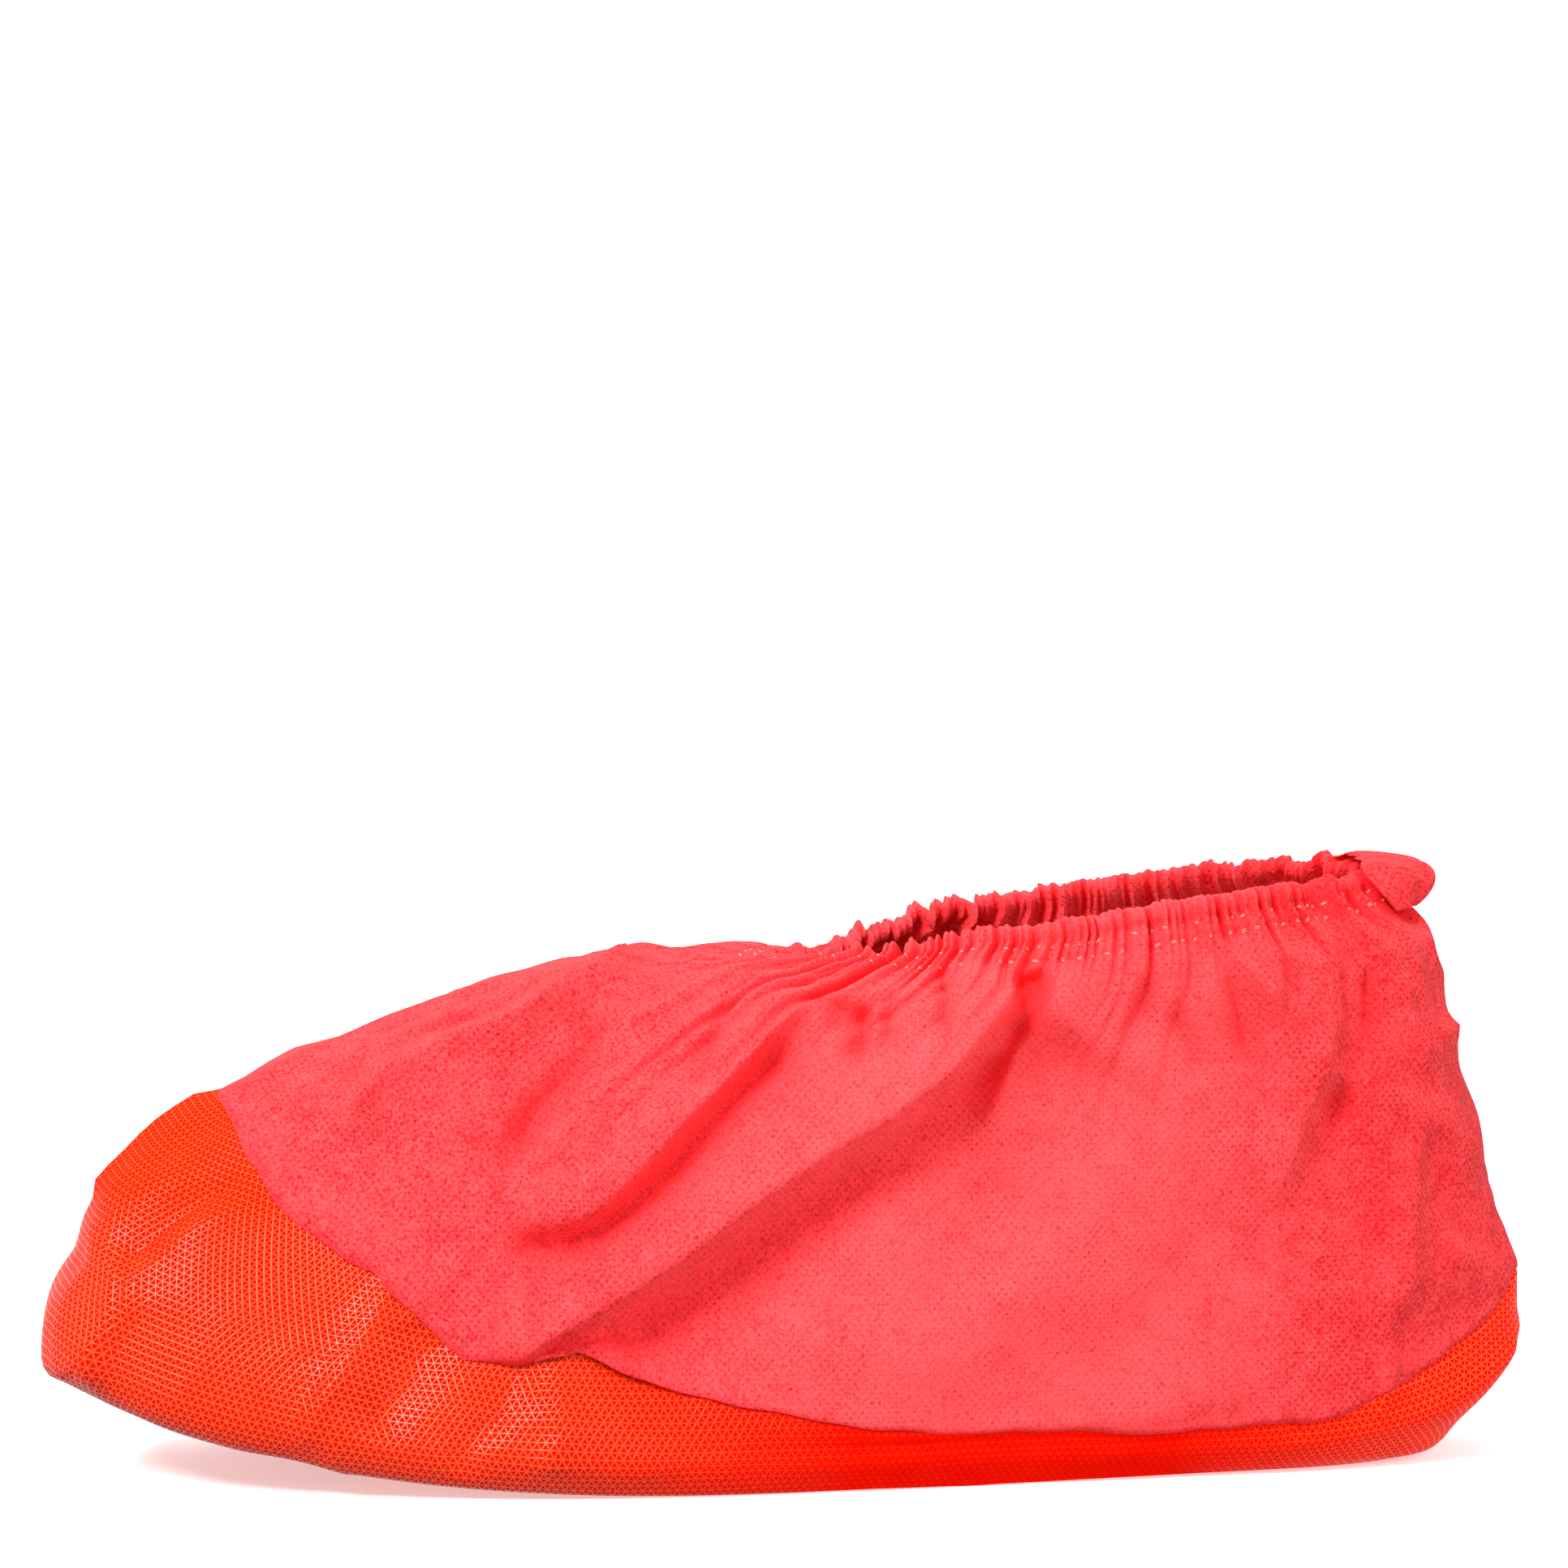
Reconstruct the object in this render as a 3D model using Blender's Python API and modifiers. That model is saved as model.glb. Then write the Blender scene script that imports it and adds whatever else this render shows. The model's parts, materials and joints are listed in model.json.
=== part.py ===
"""Disposable boot cover: an embossed coated sole, a gathered nonwoven upper, a hem round the elastic
and the tuck that the back seam leaves on the hem.

Metres, +Z up. The cover stands on its sole: the floor is z = 0, the toe points to -X, the heel to +X.
All the cloth follows one surface. Its level outlines are lofted along columns that run from the middle
of the sole, round the side and over the foot to the collar.
"""

import math
from collections import namedtuple

import bmesh
import bpy
import numpy as np

# Driving dimensions of the cover as worn
LENGTH = 0.330
BALL_WIDTH = 0.116
HEEL_WIDTH = 0.090
INSTEP_HEIGHT = 0.115
COLLAR_HEIGHT = 0.1325

# Cloth and joints
UPPER_WALL = 0.0006
SOLE_WALL = 0.0008
PIECE_GAP = 0.0003

# Hem with the elastic inside, and the gathers that it pulls
HEM_RADIUS = 0.0022
HEM_LOBE = 0.10
GATHER_DEPTH = 0.0010
GATHER_REACH = 0.022
GATHER_FREE_BACK = math.radians(14)

# Mesh: columns round the cover, rows across the sole and the upper
COLUMNS = 96
SOLE_STEPS = (0.0, 0.5, 1.0, 1.5, 2.0, 2.5, 3.0, 3.5)
UPPER_STEPS = (4.25, 4.5, 4.75, 5.0, 5.25, 5.5, 5.75, 6.0, 6.25, 6.5, 6.75, 7.0)
BOTTOM_SHARES = (0.0, 0.4, 0.75)
SPINE_SHARE = 0.82

# Level outlines from the tread to the collar. toe and heel are shares of LENGTH from the middle,
# ball and back are shares of the two half widths, toe_z and side_z are shares of INSTEP_HEIGHT and
# heel_z of COLLAR_HEIGHT. A level climbs to its toe by the mean of an early and a late power of the
# way there, and to its heel by one power. bluntness is how square the ends are: lower is squarer.
Level = namedtuple("Level", "name toe heel ball back toe_z side_z heel_z early late heel_power bluntness")
LEVELS = (
    Level("tread", -0.190, 0.415, 0.80, 0.74, 0.000, 0.000, 0.000, 3.0, 3.0, 3.0, 0.60),
    Level("feather", -0.472, 0.442, 0.95, 0.90, 0.170, 0.018, 0.016, 2.6, 3.4, 6.0, 0.62),
    Level("bulge", -0.500, 0.500, 1.00, 0.98, 0.280, 0.060, 0.193, 3.0, 3.0, 8.0, 0.64),
    Level("crown", -0.481, 0.497, 0.99, 1.00, 0.500, 0.090, 0.259, 1.8, 5.0, 8.0, 0.66),
    Level("coating_edge", -0.374, 0.494, 0.97, 1.00, 0.745, 0.122, 0.316, 1.6, 8.0, 7.0, 0.70),
    Level("low_vamp", -0.262, 0.474, 0.92, 1.01, 0.872, 0.440, 0.484, 1.8, 2.0, 2.0, 0.74),
    Level("high_vamp", -0.140, 0.449, 0.84, 0.99, 0.968, 0.820, 0.740, 1.6, 1.6, 1.5, 0.78),
    Level("shoulder", -0.070, 0.434, 0.78, 0.95, 0.990, 0.945, 0.890, 2.0, 2.0, 1.2, 0.82),
    Level("collar", -0.012, 0.396, 0.71, 0.88, 0.974, 1.064, 1.000, 1.1, 1.1, 0.8, 0.86),
)
COATING_EDGE = 4
COLLAR = 8

# The narrow waist lies between these shares of a level's half length
WAIST_START = -0.45
WAIST_END = 0.65

# Main folds of the worn cover, as lines on its side: x and z of the upper end, then of the lower end.
# side is -1 for the near side and 1 for the far side. reach is the half width, height is out of the
# cloth, and lean is the share of the reach that the lower flank keeps.
Fold = namedtuple("Fold", "side top_x top_z low_x low_z reach height lean")
FOLDS = (
    Fold(-1, 0.050, 0.112, -0.066, 0.034, 0.020, 0.0065, 0.60),
    Fold(-1, 0.064, 0.098, -0.034, 0.036, 0.016, -0.0050, 1.00),
    Fold(-1, -0.006, 0.106, -0.072, 0.060, 0.016, -0.0040, 0.80),
    Fold(-1, -0.030, 0.108, -0.106, 0.070, 0.016, 0.0030, 0.80),
    Fold(-1, 0.128, 0.104, 0.140, 0.040, 0.012, -0.0025, 1.00),
    Fold(-1, 0.146, 0.084, 0.144, 0.030, 0.010, 0.0030, 1.00),
    Fold(-1, -0.096, 0.044, -0.116, 0.006, 0.014, 0.0020, 0.90),
    Fold(-1, -0.138, 0.060, -0.150, 0.026, 0.012, 0.0030, 1.00),
    Fold(1, 0.060, 0.110, -0.040, 0.036, 0.020, 0.0055, 0.65),
    Fold(1, 0.076, 0.096, -0.010, 0.036, 0.016, -0.0045, 1.00),
    Fold(1, 0.004, 0.108, -0.074, 0.058, 0.016, -0.0040, 0.80),
    Fold(1, 0.136, 0.098, 0.142, 0.034, 0.012, 0.0025, 1.00),
    Fold(1, -0.092, 0.046, -0.108, 0.008, 0.014, 0.0018, 0.90),
)
FOLD_END_FADE = 0.15
FOLD_CENTRE_FADE = (0.008, 0.024)
FOLD_FLOOR_FADE = (0.002, 0.012)
FOLD_COLLAR_FADE = (0.004, 0.020)

# Tuck of cloth that the back seam leaves outside the hem: a small pouch over the upper. Each row lies
# at a step of the surface, clear of the cloth and hem below, and puffs out in the middle.
TUCK_HALF_ANGLE = math.radians(13)
TUCK_COLUMNS = 11
TUCK_WALL = 0.0008
TuckRow = namedtuple("TuckRow", "step clear puff lift")
TUCK_ROWS = (
    TuckRow(7.30, 0.0004, 0.0004, 0.0000),
    TuckRow(7.45, 0.0004, 0.0030, 0.0000),
    TuckRow(7.62, 0.0008, 0.0062, 0.0000),
    TuckRow(7.80, 0.0022, 0.0078, 0.0000),
    TuckRow(8.00, 0.0030, 0.0070, 0.0000),
    TuckRow(8.00, 0.0030, 0.0052, 0.0014),
)

CORAL = (0.90, 0.060, 0.075)
COATING_RED = (0.95, 0.030, 0.008)


def smooth_step(low, high, value):
    """0 below low, 1 above high, and a smooth rise between them."""
    share = np.clip((value - low) / (high - low), 0.0, 1.0)
    return share * share * (3.0 - 2.0 * share)


def unit(vectors):
    return vectors / np.maximum(np.linalg.norm(vectors, axis=-1, keepdims=True), 1e-12)


def outline(level, angles):
    """Points of one level. An angle of 0 is the heel, pi the toe and 3 pi / 2 the near side."""
    along, across = np.cos(angles), np.sin(angles)
    middle = LENGTH * (level.heel + level.toe) / 2
    half = LENGTH * (level.heel - level.toe) / 2
    waist = smooth_step(WAIST_START, WAIST_END, along)
    width = level.ball * BALL_WIDTH / 2 * (1 - waist) + level.back * HEEL_WIDTH / 2 * waist
    side_z = level.side_z * INSTEP_HEIGHT
    toe_rise = level.toe_z * INSTEP_HEIGHT - side_z
    heel_rise = level.heel_z * COLLAR_HEIGHT - side_z
    x = middle + half * along
    y = width * np.sign(across) * np.abs(across) ** level.bluntness
    to_toe, to_heel = np.maximum(-along, 0), np.maximum(along, 0)
    z = side_z + toe_rise * (to_toe**level.early + to_toe**level.late) / 2
    z = z + heel_rise * to_heel**level.heel_power
    return np.stack([x, y, z], axis=-1)


def column_angles(count, samples=4000):
    """Angles of columns that lie evenly along the edge of the coating."""
    dense = np.linspace(0, 2 * math.pi, samples + 1)
    points = outline(LEVELS[COATING_EDGE], dense)
    run = np.concatenate([[0], np.cumsum(np.linalg.norm(np.diff(points, axis=0), axis=1))])
    return np.interp(np.arange(count) / count * run[-1], run, dense)


def columns_at(angles, step):
    """Point and rising direction of every column at one step, where step k is LEVELS[k]."""
    points = np.stack([outline(level, angles) for level in LEVELS])
    spans = np.linalg.norm(np.diff(points, axis=0), axis=-1, keepdims=True) ** 0.5
    slopes = np.empty_like(points)
    chords = np.diff(points, axis=0) / spans
    slopes[0], slopes[-1] = chords[0], chords[-1]
    weight = spans[:-1] / (spans[:-1] + spans[1:])
    slopes[1:-1] = chords[:-1] * (1 - weight) + chords[1:] * weight
    low = min(int(step), len(LEVELS) - 2)
    t = step - low
    span = spans[low]
    start, end = points[low], points[low + 1]
    pull, push = slopes[low] * span, slopes[low + 1] * span
    place = (
        start * (2 * t**3 - 3 * t**2 + 1) + pull * (t**3 - 2 * t**2 + t)
        + end * (3 * t**2 - 2 * t**3) + push * (t**3 - t**2)
    )
    rise = (start - end) * (6 * t**2 - 6 * t) + pull * (3 * t**2 - 4 * t + 1) + push * (3 * t**2 - 2 * t)
    return place, unit(rise)


def row_normals(place, rise):
    """Outward normals of a row of columns: across the row, then up the column."""
    around = np.roll(place, -1, axis=0) - np.roll(place, 1, axis=0)
    return unit(np.cross(around, rise))


def fold_height(place):
    """How far the main folds lift or sink the cloth at these points."""
    x, y, z = place[:, 0], place[:, 1], place[:, 2]
    total = np.zeros(len(place))
    for fold in FOLDS:
        top = np.array([fold.top_x, fold.top_z])
        line = np.array([fold.low_x, fold.low_z]) - top
        length = np.linalg.norm(line)
        along = ((x - top[0]) * line[0] + (z - top[1]) * line[1]) / length**2
        # A positive offset is on the upper, toe side of a fold that runs down towards the toe.
        offset = ((x - top[0]) * line[1] - (z - top[1]) * line[0]) / length
        reach = np.where(offset < 0, fold.reach * fold.lean, fold.reach)
        shape = np.exp(-2 * (offset / reach) ** 2)
        from_end = np.minimum(along, 1 - along)
        ends = smooth_step(-FOLD_END_FADE, FOLD_END_FADE, from_end)
        side = smooth_step(*FOLD_CENTRE_FADE, y * fold.side)
        total += fold.height * shape * ends * side
    return total


def cloth_row(angles, step):
    """One row of the cover's outer surface with its folds and gathers, and its rising direction."""
    place, rise = columns_at(angles, step)
    normals = row_normals(place, rise)
    collar, _ = columns_at(angles, COLLAR)
    below_collar = np.linalg.norm(collar - place, axis=1)
    calm = smooth_step(*FOLD_FLOOR_FADE, place[:, 2]) * smooth_step(*FOLD_COLLAR_FADE, below_collar)
    shift = fold_height(place) * calm
    pleat = np.where(np.arange(len(angles)) % 2 == 0, 1.0, -1.0)
    pleat[np.cos(angles) > math.cos(GATHER_FREE_BACK)] = 0
    shift += GATHER_DEPTH * pleat * (1 - smooth_step(0.0, GATHER_REACH, below_collar))
    return place + normals * shift[:, None], rise


def edge_row(angles, step, distance):
    """A row at this step, moved square to its edge by a distance, up or, if negative, down."""
    place, rise = cloth_row(angles, step)
    smooth, _ = columns_at(angles, step)
    along = unit(np.roll(smooth, -1, axis=0) - np.roll(smooth, 1, axis=0))
    square = unit(rise - along * (rise * along).sum(axis=1, keepdims=True))
    return place + square * distance


def bottom_rows(angles):
    """Rows across the flat tread. The first is the spine, where the two sides meet."""
    tread = outline(LEVELS[0], angles)
    middle = (tread[:, 0].max() + tread[:, 0].min()) / 2
    spine = tread * [SPINE_SHARE, 0, 0] + [middle * (1 - SPINE_SHARE), 0, 0]
    return [spine + (tread - spine) * share for share in BOTTOM_SHARES]


def loft(name, rows, material, wall, closed=True, offset=-1):
    """A cloth object through rows of points. Its wall grows inwards, or outwards if offset is 1."""
    shape = bmesh.new()
    grid = [[shape.verts.new(point) for point in row] for row in rows]
    for low, high in zip(grid, grid[1:]):
        for i in range(len(low) if closed else len(low) - 1):
            j = (i + 1) % len(low)
            shape.faces.new((low[i], low[j], high[j], high[i]))
    bmesh.ops.remove_doubles(shape, verts=shape.verts, dist=1e-5)
    mesh = bpy.data.meshes.new(name)
    shape.to_mesh(mesh)
    shape.free()
    mesh.shade_smooth()
    made = add_part(name, mesh, material)
    solidify = made.modifiers.new("Wall", "SOLIDIFY")
    solidify.thickness = wall
    solidify.offset = offset
    solidify.use_even_offset = True
    return made


def add_part(name, data, material):
    made = bpy.data.objects.new(name, data)
    made.data.materials.append(material)
    bpy.data.collections["disposable_boot_cover"].objects.link(made)
    return made


def cloth_material(name, colour, roughness):
    material = bpy.data.materials.new(name)
    material.use_nodes = True
    shader = material.node_tree.nodes["Principled BSDF"]
    shader.inputs["Base Color"].default_value = (*colour, 1)
    shader.inputs["Roughness"].default_value = roughness
    shader.inputs["Metallic"].default_value = 0
    return material


def make_sole(angles):
    """The coated sole: flat tread, sprung toe, bevelled heel, and sides up to the coating's edge."""
    rows = bottom_rows(angles) + [cloth_row(angles, step)[0] for step in SOLE_STEPS]
    rows.append(edge_row(angles, COATING_EDGE, -PIECE_GAP / 2))
    return loft("sole", rows, cloth_material("embossed_coating", COATING_RED, 0.35), SOLE_WALL)


def make_upper(angles):
    """The nonwoven upper, open at the collar and underneath."""
    rows = [edge_row(angles, COATING_EDGE, PIECE_GAP / 2)]
    rows += [cloth_row(angles, step)[0] for step in UPPER_STEPS]
    below_hem = HEM_RADIUS * (1 + HEM_LOBE) + PIECE_GAP
    rows.append(edge_row(angles, COLLAR, -below_hem))
    return loft("upper", rows, cloth_material("nonwoven_coral", CORAL, 0.8), UPPER_WALL)


def make_hem(angles):
    """The hem turned over the elastic: a closed ring whose radius swells at every gather."""
    curve = bpy.data.curves.new("collar_hem", "CURVE")
    curve.dimensions = "3D"
    curve.bevel_depth = HEM_RADIUS
    curve.bevel_resolution = 1
    place, _ = columns_at(angles, COLLAR)
    ring = curve.splines.new("POLY")
    ring.points.add(len(angles) - 1)
    ring.use_cyclic_u = True
    for i, point in enumerate(place):
        ring.points[i].co = (*point, 1)
        ring.points[i].radius = 1 + (HEM_LOBE if i % 2 == 0 else -HEM_LOBE)
    return add_part("collar_hem", curve, cloth_material("hem_coral", CORAL, 0.8))


def make_tuck():
    """The slack end of the back seam: a pouch of cloth over the upper, behind the hem."""
    angles = np.linspace(-TUCK_HALF_ANGLE, TUCK_HALF_ANGLE, TUCK_COLUMNS)
    middle = 1 - (angles / TUCK_HALF_ANGLE) ** 2
    rows = []
    for row in TUCK_ROWS:
        place, _ = columns_at(angles, row.step)
        outward = np.stack([np.cos(angles), np.sin(angles), np.zeros(TUCK_COLUMNS)], axis=-1)
        out = row.clear + row.puff * middle
        rows.append(place + outward * out[:, None] + [0, 0, row.lift])
    material = cloth_material("tuck_coral", CORAL, 0.8)
    return loft("back_tuck", rows, material, TUCK_WALL, closed=False, offset=1)


def main():
    for old in list(bpy.data.objects):
        bpy.data.objects.remove(old)
    bpy.context.scene.collection.children.link(bpy.data.collections.new("disposable_boot_cover"))
    angles = column_angles(COLUMNS)
    make_sole(angles)
    make_upper(angles)
    make_hem(angles)
    make_tuck()


main()
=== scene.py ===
"""Looks of the disposable boot cover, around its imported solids.

Metres, +Z up, in the frame of the part: the floor is z = 0, the toe points to -X and the near side is -Y.
All the cloth follows the part's own surface: level outlines, lofted along columns that run from the tread
to the collar. Folds, gathers and crumples then move that surface.
"""

import functools
import json
import math
from collections import namedtuple

import bmesh
import bpy
import numpy as np
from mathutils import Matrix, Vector

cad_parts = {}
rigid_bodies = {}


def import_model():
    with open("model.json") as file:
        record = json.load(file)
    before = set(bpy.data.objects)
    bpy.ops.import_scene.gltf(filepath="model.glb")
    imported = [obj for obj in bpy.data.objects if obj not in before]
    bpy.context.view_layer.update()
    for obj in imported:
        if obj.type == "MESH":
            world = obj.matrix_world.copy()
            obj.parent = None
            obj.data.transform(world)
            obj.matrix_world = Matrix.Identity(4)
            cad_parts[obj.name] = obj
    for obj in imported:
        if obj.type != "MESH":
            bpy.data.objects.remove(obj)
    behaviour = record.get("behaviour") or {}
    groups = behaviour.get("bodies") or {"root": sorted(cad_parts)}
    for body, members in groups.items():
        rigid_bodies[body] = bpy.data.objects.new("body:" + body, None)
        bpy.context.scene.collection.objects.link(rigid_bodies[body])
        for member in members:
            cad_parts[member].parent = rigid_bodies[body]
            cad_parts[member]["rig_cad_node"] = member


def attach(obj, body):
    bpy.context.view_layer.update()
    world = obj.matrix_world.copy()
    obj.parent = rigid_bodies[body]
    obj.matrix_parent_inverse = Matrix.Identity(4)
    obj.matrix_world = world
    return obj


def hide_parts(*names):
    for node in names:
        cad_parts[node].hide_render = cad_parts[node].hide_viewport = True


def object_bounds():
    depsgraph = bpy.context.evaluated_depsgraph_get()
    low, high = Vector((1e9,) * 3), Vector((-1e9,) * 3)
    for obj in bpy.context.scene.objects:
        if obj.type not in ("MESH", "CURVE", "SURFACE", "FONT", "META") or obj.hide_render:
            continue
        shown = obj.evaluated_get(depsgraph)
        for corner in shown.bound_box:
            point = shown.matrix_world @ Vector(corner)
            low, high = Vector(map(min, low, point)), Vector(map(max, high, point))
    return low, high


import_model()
CAD_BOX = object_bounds()

bl_info = {
    "name": "Disposable boot cover",
    "version": (1, 0, 0),
    "blender": (4, 5, 0),
    "location": "View3D > Sidebar > Boot Cover",
    "description": "Builds a gathered nonwoven boot cover with an embossed coated sole",
    "category": "Add Mesh",
}

# The part's surface
LENGTH = 0.330
BALL_WIDTH = 0.116
HEEL_WIDTH = 0.090
INSTEP_HEIGHT = 0.115
COLLAR_HEIGHT = 0.1325
SPINE_SHARE = 0.82
WAIST_START = -0.45
WAIST_END = 0.65

# Level outlines from the tread to the collar. toe and heel are shares of LENGTH from the middle,
# ball and back are shares of the two half widths, toe_z and side_z are shares of INSTEP_HEIGHT and
# heel_z of COLLAR_HEIGHT. A level climbs to its toe by the mean of an early and a late power of the
# way there, and to its heel by one power. bluntness is how square the ends are: lower is squarer.
Level = namedtuple("Level", "name toe heel ball back toe_z side_z heel_z early late heel_power bluntness")
LEVELS = (
    Level("tread", -0.190, 0.415, 0.80, 0.74, 0.000, 0.000, 0.000, 3.0, 3.0, 3.0, 0.60),
    Level("feather", -0.472, 0.442, 0.95, 0.90, 0.170, 0.018, 0.016, 2.6, 3.4, 6.0, 0.62),
    Level("bulge", -0.500, 0.500, 1.00, 0.98, 0.280, 0.060, 0.193, 3.0, 3.0, 8.0, 0.64),
    Level("crown", -0.481, 0.497, 0.99, 1.00, 0.500, 0.090, 0.259, 1.8, 5.0, 8.0, 0.66),
    Level("coating_edge", -0.374, 0.494, 0.97, 1.00, 0.745, 0.122, 0.316, 1.6, 8.0, 7.0, 0.70),
    Level("low_vamp", -0.262, 0.474, 0.92, 1.01, 0.872, 0.440, 0.484, 1.8, 2.0, 2.0, 0.74),
    Level("high_vamp", -0.140, 0.449, 0.84, 0.99, 0.968, 0.820, 0.740, 1.6, 1.6, 1.5, 0.78),
    Level("shoulder", -0.070, 0.434, 0.78, 0.95, 0.990, 0.945, 0.890, 2.0, 2.0, 1.2, 0.82),
    Level("collar", -0.012, 0.396, 0.71, 0.88, 0.974, 1.064, 1.000, 1.1, 1.1, 0.8, 0.86),
)
COATING_EDGE = 4
COLLAR = 8

# Mesh: columns round the cover and rows up it
SOLE_COLUMNS = 600
UPPER_COLUMNS = 760
HEM_COLUMNS = 2 * UPPER_COLUMNS
BOTTOM_SHARES = tuple(np.linspace(0.0, 0.9, 7))
SOLE_STEPS = tuple(np.linspace(0.0, 4.3, 44))
UPPER_STEPS = (
    *np.linspace(4.0, 5.0, 16, endpoint=False),
    *np.linspace(5.0, 6.0, 17, endpoint=False),
    *np.linspace(6.0, 7.0, 15),
)
HEM_STEPS = tuple(np.linspace(7.0, 7.84, 26))
PATCH_TURN = math.radians(30)
SOLE_GRAIN_ROW = int(np.argmin(np.abs(np.array(SOLE_STEPS) - 2.0)))
# Order of a face's corners that turns it over
FLIPPED = [0, 3, 2, 1]

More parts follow.
